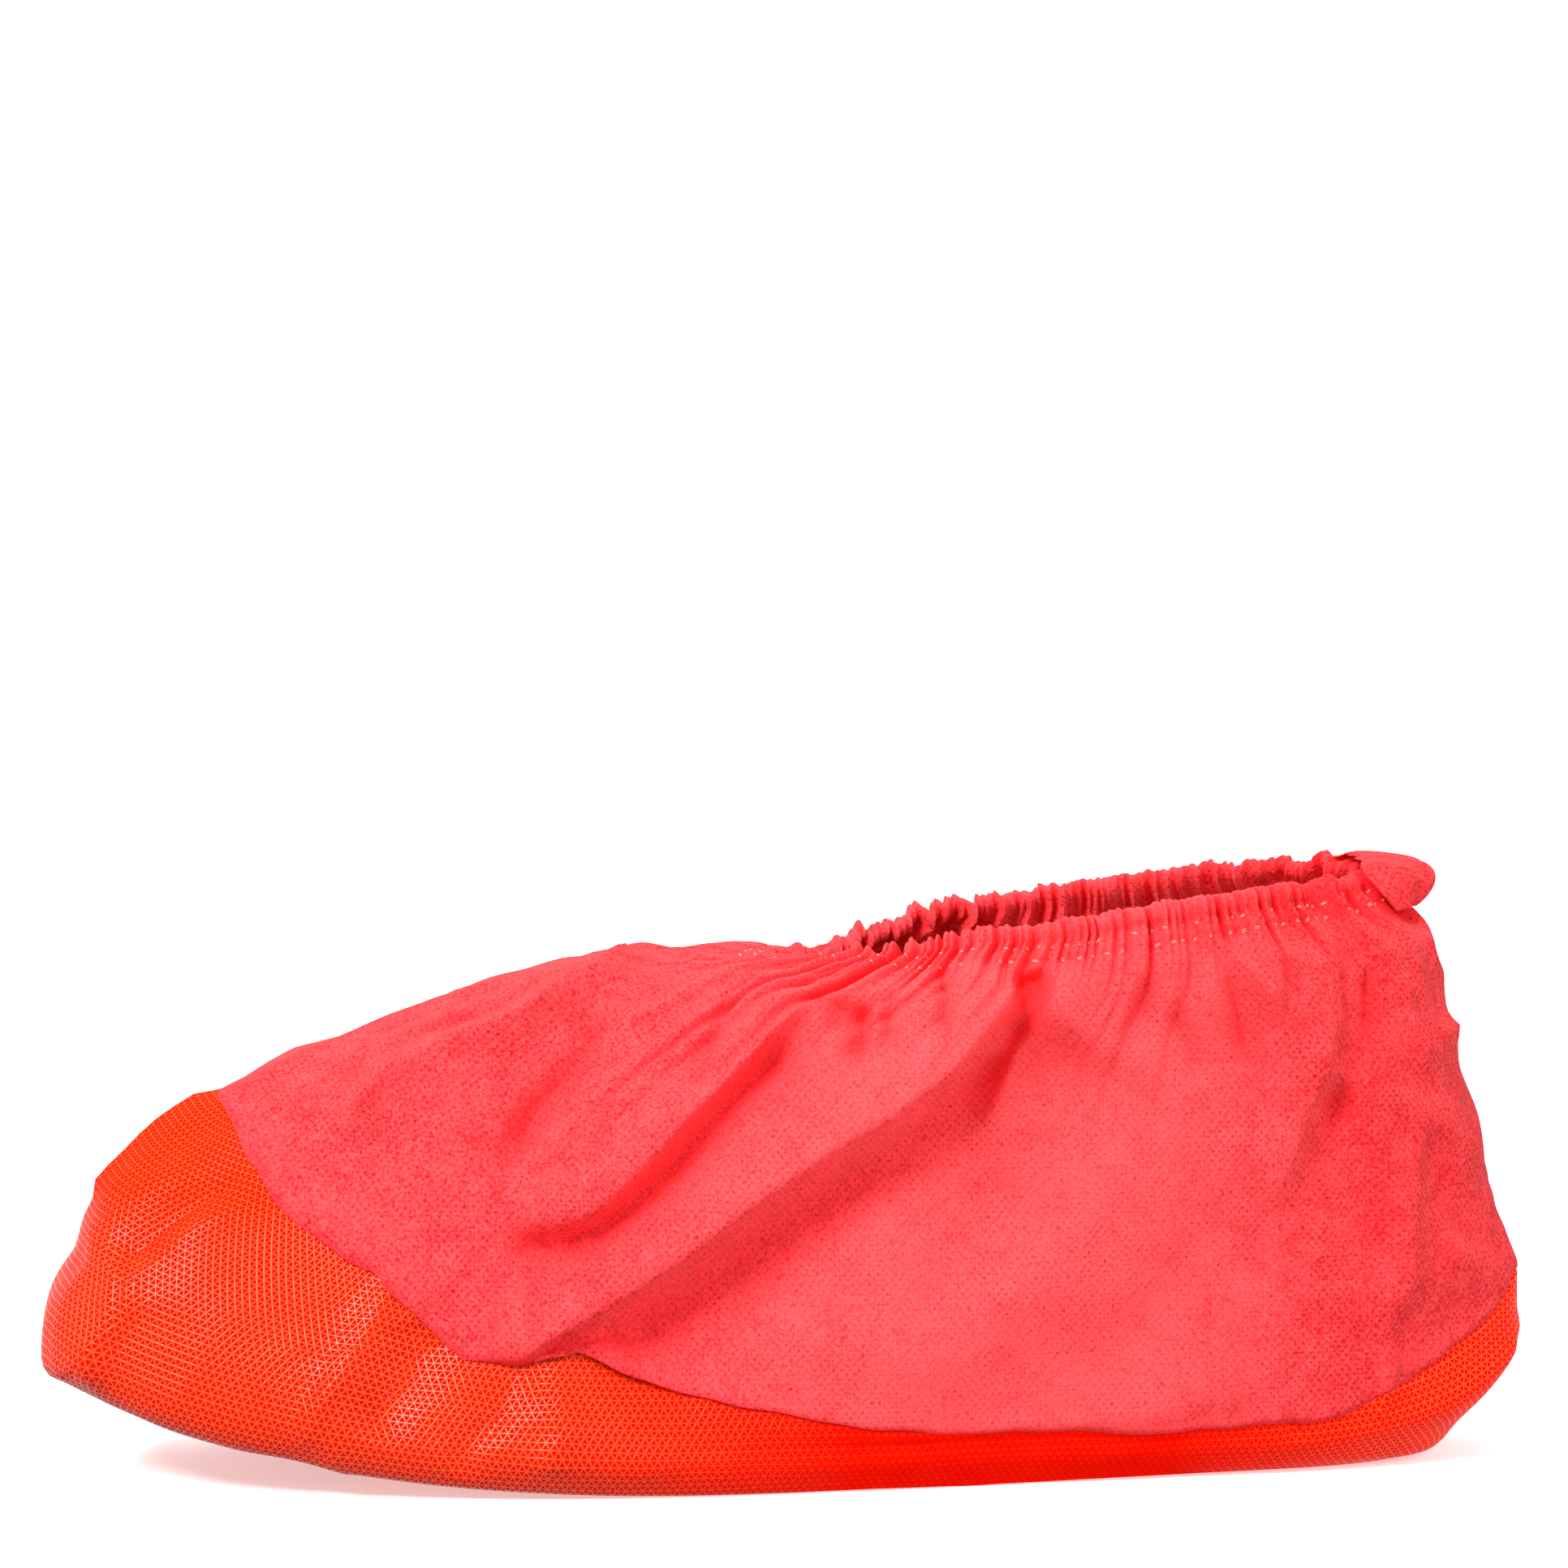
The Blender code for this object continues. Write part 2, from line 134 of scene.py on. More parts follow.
# Folds and creases, placed on a face of the cover, in millimetres. A route on the near or far face
# gives x and z from its upper end down, and on the toe or heel y and z. height is out of the cloth, toeward
# and heelward are the reach of the two flanks, and blunt is how round the crest is, as a share of that reach.
# fades are the lengths over which the two ends die away, and drape is how far the crest hangs over its
# heelward flank.
MM = 0.001
Crease = namedtuple("Crease", "face route height toeward heelward blunt fades drape", defaults=(0,))
CREASES = (
    # Great roll across the near side, and the hollow below its edge
    Crease("near", ((46, 113), (38, 104), (27, 93), (15, 84), (2, 77), (-14, 66), (-29, 55), (-45, 44),
                    (-57, 37), (-68, 29)),
           7.2, 13, 3, 0.3, (10, 16), 3),
    Crease("near", ((49, 106), (43, 95), (32, 85), (20, 76), (6, 68), (-10, 58), (-26, 46), (-42, 36),
                    (-54, 29)),
           -7, 3.6, 23, 0.4, (8, 22)),
    # Second roll above it, and its hollow
    Crease("near", ((2, 107), (-11, 98), (-28, 83), (-34, 76), (-48, 62), (-69, 59)),
           4.4, 9, 2.6, 0.25, (10, 14), 1.4),
    Crease("near", ((-4, 100), (-18, 86), (-30, 73), (-41, 63), (-54, 56), (-68, 55)),
           -5.6, 3, 6, 0.4, (8, 12)),
    # Pleats and soft waves of the vamp
    Crease("near", ((-12, 110), (-20, 102), (-24, 93), (-28, 85)), -3.4, 4, 2.8, 0.12, (8, 8)),
    Crease("near", ((-53.2, 111.5), (-64.7, 106.9), (-80.9, 102.3), (-97.1, 96.5), (-113.3, 89.6),
                    (-125.4, 80.3)),
           0.9, 5, 2.8, 0.1, (20, 12)),
    Crease("near", ((-56, 106.5), (-64.7, 103.5), (-81, 98.5), (-97, 91), (-109, 83)),
           -3.2, 4.8, 6, 0.35, (16, 14)),
    Crease("near", ((-30, 115), (-41.6, 109.2), (-57.8, 101.1), (-72.8, 96.5), (-87.9, 89.6), (-95.9, 83.8),
                    (-104, 74.5)),
           5.6, 10, 5, 0.12, (16, 20)),
    Crease("near", ((-40.5, 105.7), (-48.6, 96.5), (-57.8, 86.1), (-67, 74.5), (-71.7, 64.1)),
           -5, 5.6, 6, 0.25, (12, 16)),
    Crease("near", ((-89, 59), (-85.5, 51), (-85, 43)), 2, 6, 3, 0.2, (8, 6)),
    Crease("near", ((11.5, 109), (10.5, 98), (6.5, 89)), -3.6, 3, 1.6, 0.1, (6, 10)),
    Crease("near", ((17, 110), (16, 101), (13.5, 92)), -3, 1.8, 2.8, 0.1, (6, 10)),
    Crease("near", ((28.4, 117), (27.8, 106), (26.5, 94)), -3.2, 1.8, 3.2, 0.1, (6, 10)),
    Crease("near", ((-76, 54), (-69, 51), (-61, 47)), -1.4, 3, 3, 0.15, (4, 4)),
    Crease("near", ((41.5, 109.8), (47, 110.8), (52.5, 111.4)), -4.6, 10, 1.6, 0.3, (5, 5)),
    Crease("near", ((4.5, 106.6), (9, 105.8), (13.5, 105.2)), -2.8, 6, 1.2, 0.3, (3, 3)),
    # Waist and heel
    Crease("near", ((54, 117), (53.5, 110), (51.6, 104), (44.5, 96), (41, 85), (38, 74)),
           4.8, 3.4, 11, 0.25, (10, 16)),
    Crease("near", ((77, 116), (75, 110), (71, 101), (66, 93)), -3.6, 6, 7, 0.5, (12, 12)),
    Crease("near", ((79, 107), (81, 102), (84, 94.5), (87.5, 86)), -2.4, 3, 3.4, 0.15, (8, 10)),
    Crease("near", ((86, 122), (88, 118), (93.4, 108), (96.5, 97), (99.7, 89), (101.5, 78)),
           -2.8, 2.6, 6, 0.15, (18, 14)),
    Crease("near", ((90, 121), (94, 115), (100.5, 107), (107, 98)), 3, 2.6, 8, 0.25, (16, 12)),
    Crease("near", ((117, 121), (116.5, 112), (115.5, 101), (110, 83), (104, 70), (98, 58)),
           3.6, 14, 4.4, 0.25, (12, 18), 0.4),
    Crease("near", ((120.5, 99), (118.5, 86), (115, 74)), -4.4, 4, 6, 0.45, (10, 10)),
    Crease("near", ((115.5, 96), (120.3, 84), (126.6, 72), (130.5, 59), (132, 44)),
           3.2, 3.4, 8, 0.25, (10, 16)),
    Crease("near", ((125.7, 115), (125.7, 109), (125.6, 102), (125, 92)), -3, 2.6, 3, 0.2, (8, 10)),
    Crease("near", ((118, 116), (118.7, 110), (119.5, 103), (120.3, 96)), -2, 2.6, 2.6, 0.2, (8, 6)),
    Crease("near", ((133, 112), (134.5, 103), (136.5, 94), (140, 84)), 2.2, 3.4, 4, 0.2, (8, 10)),
    Crease("near", ((137, 84), (135.3, 63), (133.7, 47), (131.4, 31)), 2, 6, 5, 0.14, (14, 10)),
    Crease("near", ((141.5, 80), (140.5, 64), (138.5, 50)), -1.4, 5, 8, 0.6, (12, 12)),
    # Wide soft waves of the slack cloth below the great roll
    Crease("near", ((70, 93), (53.5, 78), (35, 59), (21, 46)), -2.4, 11, 9, 0.6, (14, 18)),
    Crease("near", ((86, 84), (64, 64.5), (49, 47), (31, 32)), 2.6, 9, 11, 0.6, (14, 14)),
    Crease("near", ((-17, 37), (15.5, 30), (46.6, 29)), 2.2, 8, 8, 0.6, (14, 14)),
    Crease("near", ((30, 14), (60, 16), (82, 17.9), (89, 19.5), (96, 18.8)), 1.3, 1, 7, 0.08, (14, 4)),
    Crease("heel", ((-34, 92), (-12, 96), (12, 97), (34, 93)), 2.2, 6, 2.2, 0.3, (12, 12)),
    # Toe and sides of the coated sole
    Crease("near", ((-90, 48), (-97.3, 33), (-105.4, 23), (-112.5, 10)), 3.4, 3.6, 4, 0.2, (6, 8)),
    Crease("near", ((-83, 40), (-89, 27), (-98, 13)), -3.1, 4, 7, 0.5, (6, 8)),
    Crease("near", ((-62.6, 32), (-68.4, 19), (-80.3, 6)), -2.8, 4, 3.6, 0.35, (4, 6)),
    Crease("near", ((-58.5, 32), (-54.3, 14), (-60, 5)), 2, 3.4, 5, 0.25, (4, 6)),
    Crease("near", ((-125.4, 85), (-134.1, 79.7), (-144, 75.1), (-153.7, 67.6), (-158.6, 61.2)),
           2.4, 3, 10, 0.04, (8, 6)),
    Crease("near", ((-121, 69), (-138, 59), (-151, 49)), -2.6, 11, 2.2, 0.08, (6, 6)),
    Crease("near", ((-118, 64), (-135, 55.5), (-147.5, 45.5), (-148, 34)), 2.4, 3, 12, 0.14, (8, 10)),
    Crease("near", ((-158, 57), (-153.2, 51), (-151.3, 47), (-152, 36), (-155, 31), (-153.5, 21.5)),
           2, 6, 4, 0.08, (4, 6)),
    Crease("near", ((-140, 79), (-152, 68), (-159, 56), (-162, 42)), -1.4, 9, 9, 0.6, (10, 10)),
    Crease("toe", ((-34, 47), (-12, 50), (12, 50), (34, 47)), -3.6, 9, 9, 0.5, (12, 12)),
    Crease("toe", ((-34, 29), (-12, 26), (12, 26), (34, 29)), 4, 7, 5, 0.4, (12, 12)),
    Crease("near", ((105, 17.5), (109.1, 6.5)), -1.4, 2.6, 2, 0.15, (3, 3)),
    Crease("near", ((131, 28), (127.7, 10)), 2, 2.6, 3, 0.12, (4, 4)),
    # Far side
    Crease("far", ((56, 112), (44, 100), (28, 88), (8, 76), (-12, 62), (-34, 48), (-52, 34)),
           7.7, 12, 3.4, 0.3, (4, 18), 2.6),
    Crease("far", ((60, 106), (48, 92), (32, 80), (12, 68), (-8, 54), (-30, 40)),
           -6.2, 3.6, 13, 0.4, (6, 20)),
    Crease("far", ((8, 108), (-10, 94), (-30, 78), (-56, 64), (-78, 60)), 4.2, 8, 3, 0.25, (4, 16), 1),
    Crease("far", ((2, 100), (-14, 86), (-34, 71), (-58, 59)), -4.8, 3, 6.5, 0.4, (8, 12)),
    Crease("far", ((-22, 113), (-50, 101), (-80, 87), (-112, 77)), 3.1, 15, 12, 0.6, (10, 30)),
    Crease("far", ((86, 116), (92, 102), (98, 86)), -3.4, 2.8, 7, 0.2, (2, 14)),
    Crease("far", ((112, 114), (108, 94), (98, 74), (90, 60)), 3.9, 12, 2.6, 0.2, (4, 16), 1),
    Crease("far", ((124, 106), (128, 86), (134, 60), (134, 38)), 3.4, 4, 6, 0.25, (8, 12)),
    Crease("far", ((-86, 46), (-96, 30), (-108, 12)), 2.8, 3.6, 4.4, 0.2, (6, 8)),
    Crease("far", ((-60, 30), (-70, 17), (-82, 7)), -2.5, 4, 4, 0.35, (4, 6)),
    Crease("far", ((-126, 82), (-144, 74), (-158, 60)), 0.8, 3.4, 3.4, 0.12, (8, 6)),
    Crease("far", ((-156, 55), (-152, 40), (-154, 24)), 1, 2.6, 4, 0.12, (6, 6)),
)
# The routes are laid on a fine grid of the surface, a little past the middle of the near and far faces, and on
# the toe and heel from this far along
GROUND_COLUMNS = 720
GROUND_STEPS = tuple(np.linspace(0.2, 8.0, 180))
FACE_OVERLAP = 0.0005
END_FACE = 0.08
# Heights over which they die away above the floor and below the collar, and how fast their flanks fall
CREASE_FLOOR_FADE = (0.0010, 0.0080)
CREASE_COLLAR_FADE = (0.0020, 0.0110)
FLANK_FALL = 1.5

# Gathers that the elastic pulls: pleats round the collar, how deep, and how far down they die away
Gather = namedtuple("Gather", "count depth fall seed")
GATHERS = (
    Gather(165, 0.00105, 0.0080, 5),
    Gather(81, 0.00095, 0.0150, 7),
    Gather(37, 0.00150, 0.0240, 11),
    Gather(17, 0.00150, 0.0380, 13),
)
RIM_PLEATS = Gather(190, 0.00040, 0.0040, 3)
# How unevenly the pleats lie, and how strong each is
PLEAT_STRAY = 0.55
PLEAT_STRAY_LOBES = 26
PLEAT_STRAY_SLOPE = 0.3
PLEAT_MEAN = 0.62
PLEAT_SPREAD = 0.42
PLEAT_LIMITS = (0.05, 1.3)
# How far down each runs, as a share of its gather's fall
GATHER_REACH = 1.2
GATHER_REACH_SPREAD = 0.5
GATHER_REACH_LOBES = 30
GATHER_REACH_SLOPE = 0.2
GATHER_REACH_LIMITS = (0.4, 2.4)
GATHER_FALL_POWER = 1.4
# They run longer towards the front, and are weaker at its middle and at the back seam
GATHER_LONG_FRONT = 1.0
GATHER_LONG_SPAN = (0.45, 0.95)
GATHER_SLACK_FRONT = 0.45
GATHER_SLACK_SPAN = (0.80, 0.97)
GATHER_SLACK_BACK = (math.radians(6.4), math.radians(16))
GATHER_LEAST = 0.25

# Crumples of the thin cloth: size of one, height, how far below the collar they stay strong, seed
Crumple = namedtuple("Crumple", "size height fall seed")
CRUMPLES = (
    Crumple(0.044, 0.00170, 1.000, 21),
    Crumple(0.021, 0.00110, 0.120, 22),
    Crumple(0.0105, 0.00058, 0.070, 23),
)
# Waves of a smooth field, and the least and most of their number per lump
RUMPLE_WAVES = 28
RUMPLE_PITCHES = (0.55, 1.45)
# How far a crumple's field is bent, how wide it is in sizes of the crumple, where its facets have no height
# and how round its ridges are
CRUMPLE_STRAY = 0.35
CRUMPLE_STRAY_SEED = 50
CRUMPLE_SPREAD = 1.6
CRUMPLE_MIDDLE = 0.6
CRUMPLE_ROUND = 0.02
# Crumples grow towards the heel, between these x, and are weaker on the taut sole, below these steps
CRUMPLED_HEEL = (0.100, 0.135)
CRUMPLED_HEEL_GAIN = 0.8
SOLE_TAUT = 0.6
SOLE_TAUT_STEPS = (3.6, 4.4)

# Lap of the upper over the coated sole
LAP_PROUD = 0.00016
LAP_REACH = 0.0040
LAP_STRAY_REACH = 0.016
LAP_UNDER = 0.0007
LAP_UNDER_STEPS = (3.90, 4.05)
EDGE_WAVES = ((0.024, 0.00050, 41), (0.0060, 0.00028, 42))
# Where the lap strays from the coating's edge on the near side: x, and how far up
NEAR_LAP = (
    (-0.150, 0.0), (-0.124, -0.004), (-0.112, -0.003), (-0.096, 0.002), (-0.086, -0.0005), (-0.074, -0.004),
    (-0.064, -0.001), (-0.053, 0.0055), (-0.043, 0.004), (-0.030, 0.003), (0.000, 0.001), (0.045, -0.001),
    (0.075, -0.003), (0.104, -0.0026), (0.118, -0.0036), (0.132, 0.0), (0.146, 0.0022), (0.156, 0.0),
)
NEAR_LAP_FADE = 0.020

# Roll of the hem over the elastic: outwards and upwards from the stitched band's top row
HEM_ROLL = (
    (0.0, 0.0), (0.0004, 0.0006), (0.0007, 0.0013), (0.0008, 0.0020), (0.0006, 0.0028), (0.0001, 0.0035),
    (-0.0006, 0.0040), (-0.0014, 0.0042), (-0.0022, 0.0040), (-0.0029, 0.0034), (-0.0033, 0.0025),
    (-0.0033, 0.0014), (-0.0030, 0.0004),
)
# Flap turned in behind the stitched band: row of the band, and how far inside it
HEM_FLAP = ((-3, -0.0024), (-7, -0.0018), (-11, -0.0014), (-15, -0.0012), (-19, -0.0011), (-22, -0.0011))
# The rim rises and sinks a little: how far, lobes round the collar, slope and seed
RIM_LIFT = (0.00035, 40, 0.1, 61)
RIM_FULL_HEIGHT = 0.0035

# Stitching: how far below the rim its rows run, the share of stitches that sink out of sight, the sides and
# rings of a stitch, and how deep and wide a row pinches the hem
STITCH_ROWS = (0.0040, 0.0074)
STITCH_HIDDEN = 0.22
STITCH_SIDES = 6
STITCH_RINGS = 7
STITCH_PINCH = 0.00040
STITCH_PINCH_REACH = 0.0011
# Least and most of a stitch's length, of the gap to the next and of its two threads' distance, as shares. How
# far it tilts, in metres, how high it arches and how deep its ends dip, in threads, and how blunt its tips are
STITCH_SEED = 71
STITCH_LENGTHS = (0.6, 1.15)
STITCH_GAPS = (0.85, 1.15)
STITCH_SPREADS = (0.5, 0.9)
STITCH_TILT = 0.00025
STITCH_ARCH = 0.55
STITCH_DIP = 1.5
STITCH_TIP = 0.02

# Tuck of slack cloth at the back seam: a pouch over the upper
TUCK_HALF_ANGLE = math.radians(21)
TUCK_COLUMNS = 90
TUCK_LINES = 36
TUCK_CLEAR = -0.0004
TUCK_SOFTENINGS = 3
TUCK_TAPER = 1.5
# Its wavy folds: how high, half waves across, and how far they stray from line to line
TUCK_PLEAT = 0.0009
TUCK_PLEAT_WAVES = 5.5
TUCK_PLEAT_STRAY = 1.3
TUCK_EDGE_LIFT = 0.3
# Its profile at the middle of the back, from its lower edge up and over the rim
TuckRow = namedtuple("TuckRow", "step out lift")
TUCK_ROWS = (
    TuckRow(7.36, 0.0008, 0.0000), TuckRow(7.45, 0.0040, 0.0000), TuckRow(7.58, 0.0080, 0.0000),
    TuckRow(7.75, 0.0114, 0.0000), TuckRow(7.90, 0.0126, 0.0000), TuckRow(8.00, 0.0122, 0.0000),
    TuckRow(8.00, 0.0100, 0.0008), TuckRow(8.00, 0.0068, 0.0015), TuckRow(8.00, 0.0027, 0.0021),
    TuckRow(8.00, -0.0012, 0.0024), TuckRow(8.00, -0.0040, 0.0016),
)

# The photograph's camera, in pixels of its square frame
FRAME_PIXELS = 1932
FOCAL_PIXELS = 8258
TARGET = Vector((0.0, 0.0, 0.06))
TARGET_PIXEL = (974, 1467)
CAMERA_AZIMUTH = math.radians(-6)
CAMERA_ELEVATION = math.radians(7)
CAMERA_DISTANCE = 1.5
SENSOR_WIDTH = 36.0

# The paper sweep that the cover stands on, and where the two lights come from
SWEEP_WIDTH = 5.0
SWEEP_FRONT = 4.0
SWEEP_BACK = 1.4
SWEEP_RADIUS = 0.8
SWEEP_HEIGHT = 4.0
SWEEP_TURNS = 13
KEY_FROM = Vector((-0.50, -0.54, 0.68))
FILL_FROM = Vector((0.80, -0.46, 0.38))
# How sharply the light of the surround turns at the horizon
HORIZON_SLOPE = 2.5

# Noise in a material: size of its lumps in metres, and how it changes the tone and the height of the surface
Texture = namedtuple(
    "Texture", "size detail roughness distortion tone relief", defaults=(2.0, 0.5, 0.0, 0.0, 0.0)
)

# Nonwoven cloth: textures of its web, and places where it is thin
WEBS = (
    Texture(0.0065, 4.0, 0.6, 0.0, 0.9, 0.00030),
    Texture(0.0010, 3.0, 0.7, 0.6, 1.5, 0.00036),
    Texture(0.00034, 2.0, 0.6, 1.2, 0.8, 0.00016),
)
PINHOLES = Texture(0.00068, 2.0, 0.7, 0.4, 0.60, 0.00012)
PINHOLE_LEVEL = 0.54
PINHOLE_EDGE = 7
PINHOLE_PATCHY = 0.10
PATCHES = Texture(0.018, 3.0, 0.55)
PATCH_LEVEL = 1.1
PATCH_EDGE = 3.2
# Bond points: how far they stray, their rows' pitch, how large, how strong, and how deep they are pressed
BOND_STRAY = Texture(0.0012, 1.0)
BOND_STRAY_REACH = 0.0007
BOND_ROW_PITCH = 1.14
BOND_AREA = 0.036
BOND_STRENGTH = 0.45
BOND_PATCHY = 0.40
BOND_TONE = 0.62
BOND_DEPTH = 0.00030
BOND_POLISH = 0.30
CLOTH_ROUGHNESS = 0.86
# Tone of the cloth, and where along the cover it turns deeper and more mottled: from x, and over which length
CLOTH_TONE = 0.94
CLOTH_MOTTLE = 0.85
Zone = namedtuple("Zone", "start length deeper mottle")
# Painted shade: the heel, which faces away from the key light, gets a deeper tone; its stronger mottle is the
# cloth's texture
HEEL_PAINTED_SHADE_ZONE = Zone(0.078, 0.045, 0.44, 0.25)
VAMP_ZONE = Zone(0.010, -0.060, 0.26, 0.30)
# Painted shade in the folds: where ambient occlusion finds the cloth hidden, its colour turns a deeper red,
# standing in for shade and bounced red light
PAINTED_SHADE_SAMPLES = 6
PAINTED_SHADE_REACH = 0.016
PAINTED_SHADE_GAIN = 1.7
CLOTH_SPECULAR = 0.12
SHEEN = 0.10
SHEEN_ROUGHNESS = 0.45
SHEEN_TINT = (1.0, 0.62, 0.60)

# Coating: its ridges vary in height with the press, and it is glossy at the toe and heel
LATTICE_TURNS = tuple(math.radians(turn) for turn in (0, 60, 120))
PRESS = Texture(0.014, 3.0, 0.6)
PRESS_LEAST = 0.55
PRESS_GAIN = 0.9
GRAIN = Texture(0.0004, 2.0, 0.6, relief=0.00002)
FILM = Texture(0.009, 3.0, 0.6, 0.0, 0.08, 0.00018)
COATED_TOE = (0.010, -0.070)
COATED_HEEL = (0.080, 0.050)
# Painted highlight: the ridges are coloured paler, a little everywhere and most at the glossy toe and heel,
# where the key light glints on them
RIDGE_PAINTED_HIGHLIGHT = 0.10
RIDGE_PAINTED_HIGHLIGHT_ENDS = 0.42
# Less gloss high on the toe, and at the heel: where it fades, and how much of it is lost
DULL_TOP = (0.056, 0.008)
DULL_TOP_SHARE = 0.75
DULL_HEEL = (0.060, 0.050)
DULL_HEEL_SHARE = 0.45
GLOSS_ROUGHNESS = 0.24
GLOSS_PRESS = 0.18
GLOSS_GRAIN = 0.08
GLOSS_SPECULAR = 0.24
MATT_ROUGHNESS = 0.5

# Thread: lengths of its twist, how much paler its plies are than the painted shade in its grooves, and how
# high its plies stand
TWIST_ALONG = 0.00035
TWIST_ROUND = 0.0005
TWIST_TONE = 0.4
TWIST_HEIGHT = 0.00006
TWIST_POLISH = 0.15
THREAD_TONE = 0.35
THREAD_ROUGHNESS = 0.55
FUZZ = Texture(0.0003, tone=0.6)

# Floor: how far it lies below the tread, how it glows, and how its mottle shades it
FLOOR_DROP = 0.0002
FLOOR_GLOW = 0.45
FLOOR_SHADE = 0.98
FLOOR_MOTTLE = Texture(0.25, 3.0)
FLOOR_ROUGHNESS = 0.8
FLOOR_ROUGHNESS_SPREAD = 0.1


def smooth_step(low, high, value):
    """0 below low, 1 above high, and a smooth rise between them."""
    share = np.clip((value - low) / (high - low), 0.0, 1.0)
    return share * share * (3.0 - 2.0 * share)


def unit(vectors):
    return vectors / np.maximum(np.linalg.norm(vectors, axis=-1, keepdims=True), 1e-12)


def dot(a, b):
    return (a * b).sum(axis=-1)


def outline(level, angles):
    """Points of one level. An angle of 0 is the heel, pi the toe and 3 pi / 2 the near side."""
    along, across = np.cos(angles), np.sin(angles)
    middle = LENGTH * (level.heel + level.toe) / 2
    half = LENGTH * (level.heel - level.toe) / 2
    waist = smooth_step(WAIST_START, WAIST_END, along)
    width = level.ball * BALL_WIDTH / 2 * (1 - waist) + level.back * HEEL_WIDTH / 2 * waist
    side_z = level.side_z * INSTEP_HEIGHT
    toe_rise = level.toe_z * INSTEP_HEIGHT - side_z
    heel_rise = level.heel_z * COLLAR_HEIGHT - side_z
    x = middle + half * along
    y = width * np.sign(across) * np.abs(across) ** level.bluntness
    to_toe, to_heel = np.maximum(-along, 0), np.maximum(along, 0)
    z = side_z + toe_rise * (to_toe**level.early + to_toe**level.late) / 2
    z = z + heel_rise * to_heel**level.heel_power
    return np.stack([x, y, z], axis=-1)


def run_along(points):
    """Distance run along a line of points, from its first one."""
    return np.concatenate([[0], np.cumsum(np.linalg.norm(np.diff(points, axis=0), axis=1))])


def column_angles(count, level=COATING_EDGE, samples=4000):
    """Angles of columns that lie evenly along one level."""
    dense = np.linspace(0, 2 * math.pi, samples + 1)
    run = run_along(outline(LEVELS[level], dense))
    return np.interp(np.arange(count) / count * run[-1], run, dense)


def columns_at(angles, step):
    """Point and rising direction of every column at one step, where step k is LEVELS[k]."""
    points = np.stack([outline(level, angles) for level in LEVELS])
    spans = np.linalg.norm(np.diff(points, axis=0), axis=-1, keepdims=True) ** 0.5
    slopes = np.empty_like(points)
    chords = np.diff(points, axis=0) / spans
    slopes[0], slopes[-1] = chords[0], chords[-1]
    weight = spans[:-1] / (spans[:-1] + spans[1:])
    slopes[1:-1] = chords[:-1] * (1 - weight) + chords[1:] * weight
    low = min(int(step), len(LEVELS) - 2)
    t = step - low
    span = spans[low]
    start, end = points[low], points[low + 1]
    pull, push = slopes[low] * span, slopes[low + 1] * span
    place = (
        start * (2 * t**3 - 3 * t**2 + 1) + pull * (t**3 - 2 * t**2 + t)
        + end * (3 * t**2 - 2 * t**3) + push * (t**3 - t**2)
    )
    rise = (start - end) * (6 * t**2 - 6 * t) + pull * (3 * t**2 - 4 * t + 1) + push * (3 * t**2 - 2 * t)
    return place, unit(rise)


# Rows of points, with their directions, the share of the way round the collar and the depth below it
Cloth = namedtuple("Cloth", "angles steps place normal square share below")


def cloth_grid(angles, steps):
    """The smooth surface on a grid of steps and columns."""
    rows = [columns_at(angles, step) for step in steps]
    place = np.stack([row[0] for row in rows])
    rise = np.stack([row[1] for row in rows])
    around = unit(np.roll(place, -1, axis=1) - np.roll(place, 1, axis=1))
    normal = unit(np.cross(around, rise))
    square = unit(rise - around * dot(rise, around)[..., None])
    collar, _ = columns_at(angles, COLLAR)
    gaps = np.linalg.norm(np.diff(np.concatenate([place, collar[None]]), axis=0), axis=-1)
    below = np.cumsum(gaps[::-1], axis=0)[::-1]
    return Cloth(angles, steps, place, normal, square, collar_share(angles), below)


def collar_share(angles, samples=4000):
    """Share of the way round the collar at each column, from the heel."""
    dense = np.linspace(0, 2 * math.pi, samples + 1)
    run = run_along(outline(LEVELS[COLLAR], dense))
    return np.interp(angles % (2 * math.pi), dense, run / run[-1])


def ripple(share, seed, lobes, slope=0.5):
    """A seeded wave round a closed ring, about -1 to 1."""
    rng = np.random.default_rng(seed)
    total = np.zeros_like(share)
    power = 0.0
    for lobe in range(1, lobes + 1):
        size = lobe**-slope
        total += size * np.sin(2 * math.pi * (lobe * share + rng.random()))
        power += size * size
    return total / math.sqrt(power)


def rumple(points, size, seed):
    """A seeded smooth field in space, about -1 to 1, with lumps of this size."""
    rng = np.random.default_rng(seed)
    pitch = 2 * math.pi / size * rng.uniform(*RUMPLE_PITCHES, (RUMPLE_WAVES, 1))
    directions = unit(rng.normal(size=(RUMPLE_WAVES, 3))) * pitch
    phases = rng.uniform(0, 2 * math.pi, RUMPLE_WAVES)
    return np.sin(points @ directions.T + phases).sum(axis=-1) / math.sqrt(RUMPLE_WAVES)


def crumple_height(place, below):
    """Soft facets of the thin cloth: ridges where a smooth field changes sign."""
    total = np.zeros(place.shape[:-1])
    for crumple in CRUMPLES:
        stray = rumple(place, crumple.size * 2, crumple.seed + CRUMPLE_STRAY_SEED)
        bent = place + CRUMPLE_STRAY * crumple.size * stray[..., None]
        field = rumple(bent, crumple.size * CRUMPLE_SPREAD, crumple.seed)
        facet = CRUMPLE_MIDDLE - np.sqrt(field**2 + CRUMPLE_ROUND)
        total += crumple.height * facet * np.exp(-below / crumple.fall)
    return total * (1 + CRUMPLED_HEEL_GAIN * smooth_step(*CRUMPLED_HEEL, place[..., 0]))


